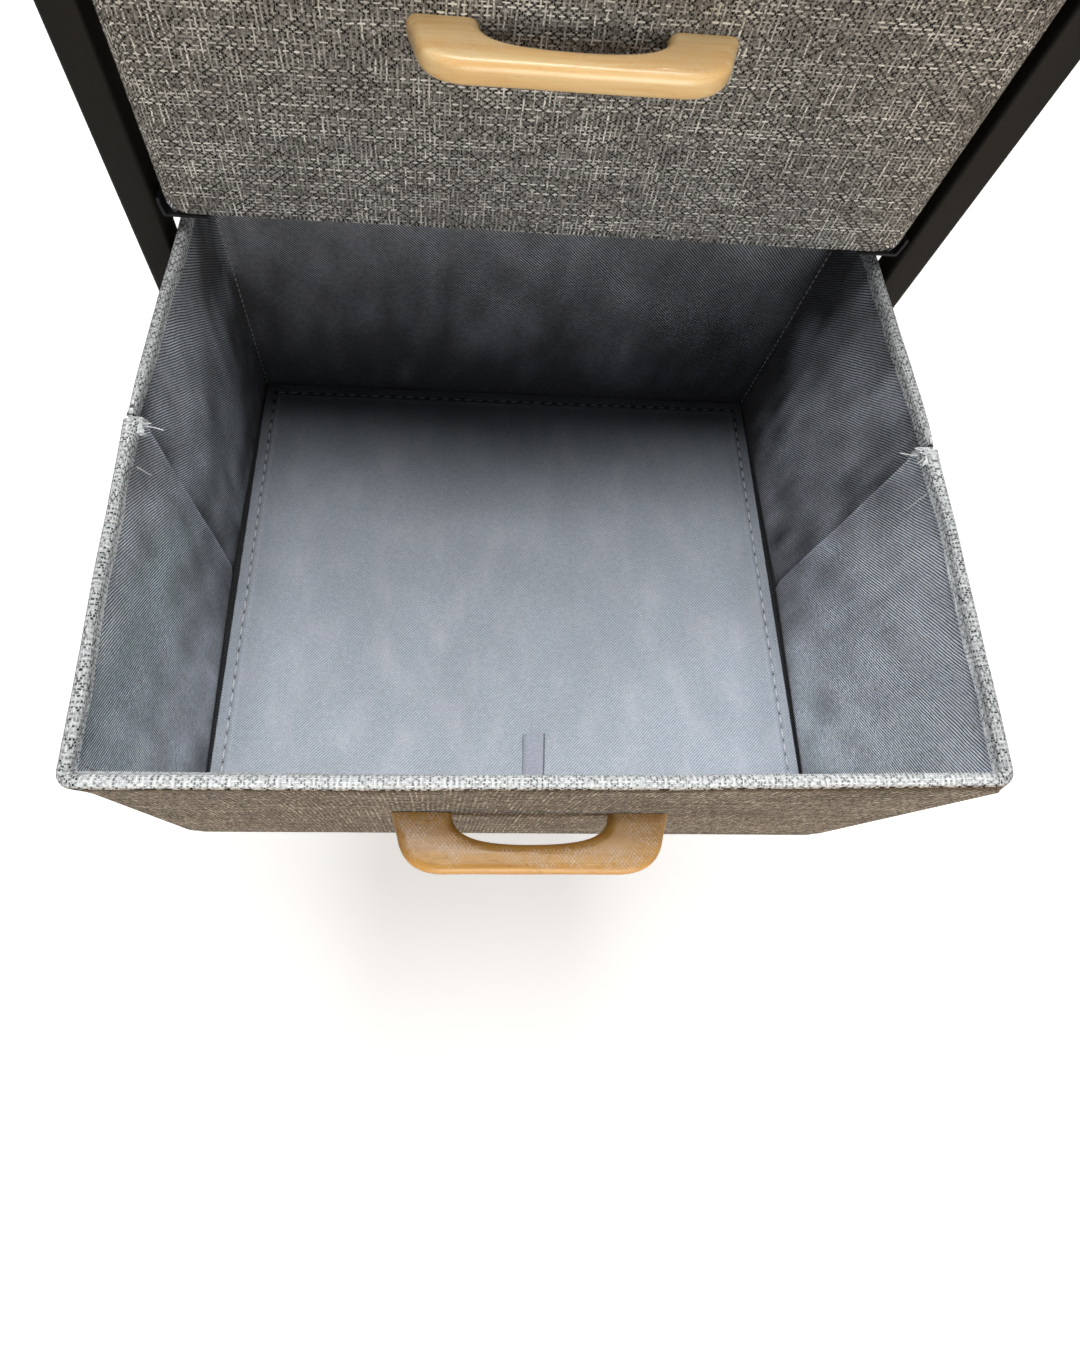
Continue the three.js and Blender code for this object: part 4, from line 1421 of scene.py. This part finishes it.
def sew_corners(number):
    """The upright seams in a bin's four inner corners."""
    low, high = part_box(f"drawer_{number}_bin")
    bm = bmesh.new()
    wall = HEM_THICKNESS + HEM_STEP + 0.3 * MM
    foot, head = low.z + FLOOR + 6 * MM, high.z - HEM_DEPTH - 2 * MM
    for x in (wall - HALF_WIDTH, HALF_WIDTH - wall):
        for y in (low.y + wall, high.y - wall):
            ends = (x, y, foot), (x, y, head)
            sew(bm, *ends, CORNER_PITCH, CORNER_LENGTH, CORNER_THICKNESS, number)
    return piece_from_bmesh(
        bm, f"corner_seams_{number}", f"drawer_{number}", [seam_finish], sharp=80
    )


board_seams = [sew_board(number) for number in drawers]
corner_seams = [sew_corners(number) for number in drawers]
print("faces of the stitches on a board:", len(board_seams[0].data.polygons))
print("faces of the stitches in a bin's corners:", len(corner_seams[0].data.polygons))

# %% [markdown]
# ## Pull tabs
# A folded tape is sewn under the front edge of each base board, to lift it by. It lies on
# the board. It is a flat strip, sliced along its length, with its folded edge thicker, and
# then bent a little, as tape that has been in a box is. Its shade is painted: a painted
# highlight along the fold, painted shade on the strip left of the fold, and painted shade
# down its right edge, which stands off the board.

# %% Pull tabs
TAPE_ROUND = 0.45 * MM
FOLD_SUNK = 0.55 * MM  # how deep the line beside the folded edge lies
TAPE_LIFT = 2.6 * MM  # how far the loose end stands up
RIGHT_EDGE = 1.1 * MM


def make_tab(number):
    node = f"drawer_{number}_pull_tab"
    low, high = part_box(node)
    board_low, board_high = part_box(f"drawer_{number}_base_board")
    width = high.x - low.x
    fold = low.x + width / 4
    right = high.x - RIGHT_EDGE
    bm = box_between(low, high)
    places = [fold - 0.6 * MM, fold, fold + 0.6 * MM, low.x + width * 0.6, right]
    slice_at(bm, ACROSS, places)
    slice_at(bm, BACK, spaced(low.y + 2 * MM, high.y - 2 * MM, 2.5 * MM))

    def long_edge(edge):
        x = middle(edge).x
        return runs_along(edge, BACK) and (x < low.x + TINY or x > high.x - TINY)

    round_edges(bm, long_edge, TAPE_ROUND, 2)
    map_flat(bm, Vector((0.05 * number, 0.03 * number)))
    shades = bm.verts.layers.float.new("shade")
    for vert in bm.verts:
        point = vert.co.copy()
        along = (point.y - low.y) / (high.y - low.y)
        in_fold = abs(point.x - fold) < 0.2 * MM
        # Painted light and shade: a highlight along the fold, shade left of it and down the right edge.
        shade = 0.5 + 0.1 * in_fold - 0.1 * (point.x < fold - 1 * MM)
        vert[shades] = shade - 0.36 * (point.x > right + TINY)
        if in_fold and point.z > (low.z + high.z) / 2:
            vert.co.z -= FOLD_SUNK
        on_board = Vector((point.x, max(point.y, board_low.y + 4 * MM), 0))
        vert.co.z += board_height(on_board, board_low, board_high, number)
        vert.co.z += TAPE_LIFT * ramp(along, 0.5, 1.0) * (0.35 + (point.x - low.x) / width)
        vert.co.x += 1.2 * MM * (ramp(along, 0, 1) - 0.5) + 0.25 * MM * wander(point, 15 * MM, number)
    return piece_from_bmesh(
        bm, f"pull_tab_{number}", f"drawer_{number}", [tab_finish], [node], sharp=35
    )


tabs = [make_tab(number) for number in drawers]
print("pull tabs:", len(tabs))

# %% [markdown]
# ## Handles
# Each handle is a bow sawn from a flat strip of beech, rounded over on a router and
# varnished. The outline is what matters, and a flat Bezier curve draws it as a joiner's
# template would. Blender extrudes such a curve and rounds its edges. The feet are drawn too
# long and are then cut off flush with the bin's front.

# %% Handle outline
HANDLE_ROUND = 4 * MM
HANDLE_FLAT = 3 * MM
SHADED_HANDLE_DRAWER = 2  # the one whose handle is a darker, browner copy of the beech: painted shade
# Each corner of the template's right half, from the middle of the bar's front, in mm:
# the point, and the two handles that steer the curve before and after it.
TEMPLATE = [
    ((38.5, -25.0), (30.0, -25.0), (50.5, -25.0)),
    ((59.5, -10.0), (57.5, -20.0), (60.5, -6.7)),
    ((64.3, 6.0), (63.0, 1.5), (55.0, 6.0)),
    ((35.5, 6.0), (45.0, 6.0), (35.5, 4.0)),
    ((35.5, 0.0), (35.5, 2.0), (35.5, -10.0)),
    ((0.0, -13.0), (23.5, -13.0), (-23.5, -13.0)),
]


def mirrored(corner):
    point, before, after = corner
    return tuple((-x, y) for x, y in (point, after, before))


def handle_mesh():
    """The handle as a mesh, with its feet running on behind y = 0."""
    curve = bpy.data.curves.new("handle_template", "CURVE")
    curve.dimensions = "2D"
    curve.fill_mode = "BOTH"
    curve.extrude = HANDLE_FLAT / 2
    curve.bevel_depth = HANDLE_ROUND
    curve.bevel_resolution = 5
    curve.offset = -HANDLE_ROUND
    curve.resolution_u = 14
    corners = TEMPLATE + [mirrored(corner) for corner in reversed(TEMPLATE[:-1])]
    spline = curve.splines.new("BEZIER")
    spline.bezier_points.add(len(corners) - 1)
    spline.use_cyclic_u = True
    for bezier, (point, before, after) in zip(spline.bezier_points, corners):
        bezier.handle_left_type = bezier.handle_right_type = "FREE"
        bezier.co = (point[0] * MM, point[1] * MM, 0)
        bezier.handle_left = (before[0] * MM, before[1] * MM, 0)
        bezier.handle_right = (after[0] * MM, after[1] * MM, 0)
    return mesh_from_curve(curve)


def make_handle(number, template):
    node = f"drawer_{number}_handle"
    low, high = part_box(node)
    bm = bmesh.new()
    bm.from_mesh(template)
    bmesh.ops.remove_doubles(bm, verts=bm.verts[:], dist=0.01 * MM)
    everything = bm.verts[:] + bm.edges[:] + bm.faces[:]
    bmesh.ops.bisect_plane(
        bm, geom=everything, dist=TINY, plane_co=(0, 0, 0), plane_no=(0, 1, 0), clear_outer=True
    )
    bmesh.ops.holes_fill(bm, edges=[edge for edge in bm.edges if edge.is_boundary])
    bmesh.ops.recalc_face_normals(bm, faces=bm.faces[:])
    for vert in bm.verts:
        vert.co.z += 0.22 * MM * wander(vert.co, 40 * MM, number)
        off_foot = ramp(-vert.co.y, 0, 6 * MM)
        vert.co.y += 0.15 * MM * wander(vert.co, 30 * MM, number + 20) * off_foot
    bmesh.ops.translate(bm, verts=bm.verts[:], vec=(0, high.y, (low.z + high.z) / 2))
    finish = shaded_beech_finish if number == SHADED_HANDLE_DRAWER else beech_finish
    return piece_from_bmesh(
        bm, f"beech_handle_{number}", f"drawer_{number}", [finish], [node], sharp=50
    )


template = handle_mesh()
handles = [make_handle(number, template) for number in drawers]
bpy.data.meshes.remove(template)
print("handle:", in_mm(handles[0].dimensions), "mm,", len(handles[0].data.polygons), "faces")

# %% [markdown]
# ## Handle screws
# Two screws hold each handle from inside the bin. A screw is a shape turned on a lathe, so
# half of its section is spun round an axis, and a cross recess is cut into its domed head.

# %% Turned pieces
def turned(profile, steps):
    """Spins a list of (radius, height) points in mm round the Z axis into a closed shape."""
    bm = bmesh.new()
    corners = [bm.verts.new((radius * MM, 0, height * MM)) for radius, height in profile]
    lines = [bm.edges.new(pair) for pair in zip(corners, corners[1:])]
    bmesh.ops.spin(
        bm, geom=corners + lines, cent=(0, 0, 0), axis=(0, 0, 1), angle=2 * math.pi,
        steps=steps, use_merge=True,
    )
    bmesh.ops.remove_doubles(bm, verts=bm.verts[:], dist=TINY)
    bmesh.ops.recalc_face_normals(bm, faces=bm.faces[:])
    return bm


def temporary_object(bm):
    mesh = bpy.data.meshes.new("temporary")
    bm.to_mesh(mesh)
    bm.free()
    return place_in_scene("temporary", mesh)


def carved(bm, *tools):
    """Cuts tool shapes out of a shape, and returns the result as a mesh."""
    body = temporary_object(bm)
    cutters = [temporary_object(tool) for tool in tools]
    for cutter in cutters:
        cut = body.modifiers.new("cut", "BOOLEAN")
        cut.operation = "DIFFERENCE"
        cut.solver = "EXACT"
        cut.object = cutter
    result = baked_mesh(body)
    for holder in [body, *cutters]:
        bpy.data.objects.remove(holder)
    return result


print("lathe and cutter ready")

# %% [markdown]
# ### The screws themselves
# The profile is drawn from the middle of the shank's end, up the shank, out under the head
# and over its dome. The recess is two thin boxes at right angles, cut out of the dome. A
# finished screw is turned to look back along Y, and each a little further round.

# %% Screws
SCREW_PROFILE = [
    (0, -13), (1.2, -13), (2, -11.8), (2, 0), (6, 0), (6.0, 0.35),
    (5.7, 0.85), (4.9, 1.4), (3.6, 1.85), (1.9, 2.12), (0, 2.2),
]
HEAD_HEIGHT = 2.2 * MM
RECESS_LENGTH = 2.3 * MM  # from the middle to the end
RECESS_HALF = 0.5 * MM
RECESS_LOW, RECESS_HIGH = 0.9 * MM, 3 * MM


def make_screw(number, side):
    node = f"drawer_{number}_{side}_screw"
    low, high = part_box(node)
    recesses = [
        box_between((-x, -y, RECESS_LOW), (x, y, RECESS_HIGH))
        for x, y in ((RECESS_LENGTH, RECESS_HALF), (RECESS_HALF, RECESS_LENGTH))
    ]
    mesh = carved(turned(SCREW_PROFILE, 32), *recesses)
    under_head = high.y - HEAD_HEIGHT
    place = Matrix.Translation(((low.x + high.x) / 2, under_head, (low.z + high.z) / 2))
    turn = Matrix.Rotation(math.radians(-90), 4, "X") @ Matrix.Rotation(0.4 * number, 4, "Z")
    mesh.transform(place @ turn)
    return piece_from_mesh(
        mesh, f"screw_{number}_{side}", f"drawer_{number}", [zinc_finish], [node], sharp=30
    )


screws = [make_screw(number, side) for number in drawers for side in ("left", "right")]
print("screws:", len(screws), "of", len(screws[0].data.polygons), "faces")

# %% [markdown]
# ## The frame
# The frame is square steel tube with softly rounded corners. The CAD tubes have the right
# size, but their corners are coarse, so each is made again as a box whose long edges are
# rounded in more steps, and whose saw-cut ends have a fine edge.

# %% Tubes
TUBE_ROUND = 2 * MM
SAWN_EDGE = 0.3 * MM


def make_tube(node):
    low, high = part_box(node)
    size = high - low
    long_way = max(range(3), key=lambda axis: size[axis])
    bm = box_between(low, high)
    round_edges(bm, lambda e: runs_along(e, long_way), TUBE_ROUND, 5)
    round_edges(bm, lambda e: not runs_along(e, long_way), SAWN_EDGE, 1)
    return piece_from_bmesh(bm, f"tube_{node}", "frame", [steel_finish], [node])


tubes = [make_tube(name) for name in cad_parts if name.endswith(("_post", "_rail"))]
print("tubes:", len(tubes))

# %% [markdown]
# ## Runners
# A runner is a strip of thin steel folded into an angle, whose upright leans out a little
# at its top. A sheet is best made as a sheet: a line of points is extruded to a strip, its
# fold is rounded, and it then gets its thickness. A small upright plate behind the bin is
# its stop. The right runner is made as a left one and mirrored.

# %% Runner strips
SHEET = 1.5 * MM
STOP_IN = 5.5 * MM  # from the web to the stop plate
STOP_GAP = 0.6 * MM  # from the closed bin to the stop plate
STOP_ROUND = 3 * MM
# The outer face of the angle, from the flange's fold to the top of the web, in mm.
RUNNER_FOLD = [
    (2.4, 0), (1.7, 0.12), (1.15, 0.5), (0.85, 1.2), (0.65, 2.4),
    (0.3, 4.8), (0.08, 7.2), (0.02, 9.2), (0.2, 10.3), (0.7, 11),
]


def bent_strip(low, high):
    """The folded sheet of a left runner, with its thickness."""
    bm = bmesh.new()
    section = [(high.x, low.z)] + [(low.x + x * MM, low.z + z * MM) for x, z in RUNNER_FOLD]
    corners = [bm.verts.new((x, low.y, z)) for x, z in section]
    lines = [bm.edges.new(pair) for pair in zip(corners, corners[1:])]
    made = bmesh.ops.extrude_edge_only(bm, edges=lines)
    bmesh.ops.translate(bm, verts=new_points(made), vec=(0, high.y - low.y, 0))
    bmesh.ops.recalc_face_normals(bm, faces=bm.faces[:])
    bm.normal_update()
    flange = max(bm.faces, key=lambda face: face.calc_area())
    if flange.normal.z > 0:
        bmesh.ops.reverse_faces(bm, faces=bm.faces[:])
    bmesh.ops.solidify(bm, geom=bm.faces[:], thickness=SHEET)
    bmesh.ops.recalc_face_normals(bm, faces=bm.faces[:])
    return bm


def make_runner(number, side):
    node = f"runner_{number}_{side}"
    low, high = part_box(node)
    if side == "right":
        low.x, high.x = -high.x, -low.x
    bm = bent_strip(low, high)
    stop_low = Vector((low.x + STOP_IN, bin_high.y + STOP_GAP, low.z + SHEET / 2))
    stop_high = Vector((high.x, stop_low.y + SHEET, high.z))
    stop = bmesh.ops.create_cube(bm, size=1, matrix=box_place(stop_low, stop_high))
    of_stop = {edge for vert in stop["verts"] for edge in vert.link_edges}

    def upper_corner(edge):
        return edge in of_stop and runs_along(edge, BACK) and middle(edge).z > high.z - TINY

    round_edges(bm, upper_corner, STOP_ROUND, 4)
    if side == "right":
        bmesh.ops.scale(bm, verts=bm.verts[:], vec=(-1, 1, 1))
        bmesh.ops.reverse_faces(bm, faces=bm.faces[:])
    return piece_from_bmesh(
        bm, f"angle_{number}_{side}", "frame", [runner_finish], [node], sharp=35
    )


runners = [make_runner(number, side) for number in drawers for side in ("left", "right")]
print("runners:", in_mm(runners[0].dimensions), "mm")

# %% [markdown]
# ## Top board and feet
# The top is a plain board with eased edges. The feet are turned, like the screws: a wide
# base, a narrower neck and a plug that is pushed into the post.

# %% Top board and feet
TOP_CORNER = 5 * MM
TOP_EDGE = 1.5 * MM
FOOT_PROFILE = [
    (0, 0), (10.2, 0), (11.2, 0.4), (11.8, 1.2), (12, 2.2), (12, 4.2), (11.7, 5.2), (10.8, 5.8),
    (9.6, 6), (7.6, 6.1), (7, 6.7), (7, 19.7), (6.3, 19.7), (6.3, 37.4), (5.8, 38), (0, 38),
]


def make_top():
    low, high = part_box("top_board")
    bm = box_between(low, high)
    round_edges(bm, lambda e: runs_along(e, UP), TOP_CORNER, 5)
    round_edges(bm, lambda e: not runs_along(e, UP), TOP_EDGE, 3)
    return piece_from_bmesh(bm, "wood_top", "frame", [top_finish], ["top_board"])


def make_foot(node):
    low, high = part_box(node)
    bm = turned(FOOT_PROFILE, 40)
    middle_x, middle_y = (low.x + high.x) / 2, (low.y + high.y) / 2
    bmesh.ops.translate(bm, verts=bm.verts[:], vec=(middle_x, middle_y, low.z))
    return piece_from_bmesh(bm, f"plastic_{node}", "frame", [plastic_finish], [node])


top_piece = make_top()
feet = [make_foot(name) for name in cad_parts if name.endswith("_foot")]
print("top:", in_mm(top_piece.dimensions), "mm; feet:", len(feet))

# %% [markdown]
# ## Pieces that stay as CAD
# The board inside each front wall and the screws under the top rails have the right shape
# already, so they only get their finish.

# %% Finish on the CAD pieces
def dress(node, finish):
    mesh = bpy.data.objects[node].data
    mesh.materials.clear()
    mesh.materials.append(finish)


for number in drawers:
    dress(f"drawer_{number}_front_board", hardboard_finish)
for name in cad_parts:
    if name.endswith("top_screw"):
        dress(name, zinc_finish)
print("dressed the hidden pieces")

# %% [markdown]
# ## Frayed threads
# At each crease the cut end of the hem has come apart into a small tuft, and a few threads
# hang from it. Each is a thin curve. They are drawn together as one curve and made a mesh.

# %% Frayed threads
TUFT_COUNT = 22
THREAD_RADIUS = 0.24 * MM
THREAD_POINTS = 6


def thread_points(start, way, length, bend, seed):
    """A thread that leaves a point and curls as it goes."""
    points = []
    spot = Vector(start)
    heading = Vector(way).normalized()
    for i in range(THREAD_POINTS):
        points.append(spot.copy())
        ahead = spot + Vector((0, 0, i * MM))
        curl = Vector([wander(ahead, 4 * MM, seed + axis * 13) for axis in range(3)])
        heading = (heading + curl * bend).normalized()
        spot = spot + heading * length / (THREAD_POINTS - 1)
    return points


def mesh_of_threads(threads, radius):
    curve = bpy.data.curves.new("threads", "CURVE")
    curve.dimensions = "3D"
    curve.bevel_depth = radius
    curve.bevel_resolution = 1
    curve.resolution_u = 3
    curve.use_fill_caps = True
    for points in threads:
        spline = curve.splines.new("NURBS")
        spline.points.add(len(points) - 1)
        spline.use_endpoint_u = True
        spline.order_u = 3
        for slot, point in zip(spline.points, points):
            slot.co = (*point, 1)
    return mesh_from_curve(curve)


def tuft_and_threads(number, side, crease_y, rim):
    """The tuft on one side of a bin, and the two long threads that hang below it."""
    inner = side * (HALF_WIDTH + CREASE_OUT - HEM_THICKNESS)
    threads = []
    for i in range(TUFT_COUNT):
        start = (inner + side * 0.8 * MM, crease_y - (1 + 0.35 * i) * MM, rim - 0.5 * MM)
        out = -side * (1 + 0.5 * math.sin(i * 2.1))
        way = (out, -0.8 + 0.6 * math.cos(i * 1.7), -0.4 + 0.7 * math.sin(i * 1.3))
        length = (3.4 + 1.8 * math.sin(i * 3.3)) * MM
        threads.append(thread_points(start, way, length, 0.9, number * 100 + side * 40 + i))
    short_start = (inner, crease_y - 3 * MM, rim - 4 * MM)
    long_start = (inner, crease_y - 22 * MM, rim - 6 * MM)
    threads.append(thread_points(short_start, (-side, 0.3, -0.5), 8 * MM, 0.25, number + side))
    threads.append(
        thread_points(long_start, (-side * 0.35, 0.1, -1), 14 * MM, 0.3, number + 7 * side)
    )
    return threads


def fray_bin(number):
    low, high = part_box(f"drawer_{number}_bin")
    crease_y = (low.y + high.y) / 2
    threads = []
    for side in (-1, 1):
        threads += tuft_and_threads(number, side, crease_y, high.z)
    mesh = mesh_of_threads(threads, THREAD_RADIUS)
    return piece_from_mesh(
        mesh, f"frayed_hem_{number}", f"drawer_{number}", [fray_finish], sharp=80
    )


frays = [fray_bin(number) for number in drawers]
print("frayed threads:", len(frays[0].data.polygons), "faces")

# %% [markdown]
# ## The floor
# A wide pale floor. To the camera it is nearly white, it keeps the dresser's shadow, and
# away from the dresser it fades to plain white. To the light that it sends back up it is
# the warm tan of a wooden floor, which is what warms the drawer fronts from below.

# %% Floor
FLOOR_HALF = 6.0
NEAR_GLOW, FAR_GLOW = 0.46, 1.0
FADE_START, FADE_END = 0.7, 2.2  # metres from the dresser


def make_floor_finish():
    material, bench, shader = new_finish("studio_floor", Roughness=0.75, Specular_IOR_Level=0.2)
    path = bench.add("ShaderNodeLightPath").outputs
    point = object_point(bench)
    seen = bench.math("MAXIMUM", path["Is Camera Ray"], path["Is Glossy Ray"])
    pale = bench.mix(bench.noise(point, 3, 3), srgb(240, 240, 238), srgb(247, 247, 246))
    bench.feed(shader.inputs["Base Color"], bench.mix(seen, srgb(196, 172, 146), pale))
    away = bench.add("ShaderNodeVectorMath", operation="LENGTH")
    bench.feed(away.inputs[0], point)
    fade = bench.step(away.outputs["Value"], FADE_START, FADE_END)
    glow = bench.between(fade, NEAR_GLOW, FAR_GLOW)
    bench.feed(shader.inputs["Emission Color"], (1, 1, 1))
    bench.feed(shader.inputs["Emission Strength"], bench.times(path["Is Camera Ray"], glow))
    return material


floor_bm = bmesh.new()
bmesh.ops.create_grid(floor_bm, x_segments=1, y_segments=1, size=FLOOR_HALF)
floor_mesh = bpy.data.meshes.new("studio_floor")
floor_bm.to_mesh(floor_mesh)
floor_bm.free()
floor_mesh.materials.append(make_floor_finish())
floor = place_in_scene("studio_floor", floor_mesh)
print("floor", FLOOR_HALF * 2, "m wide")
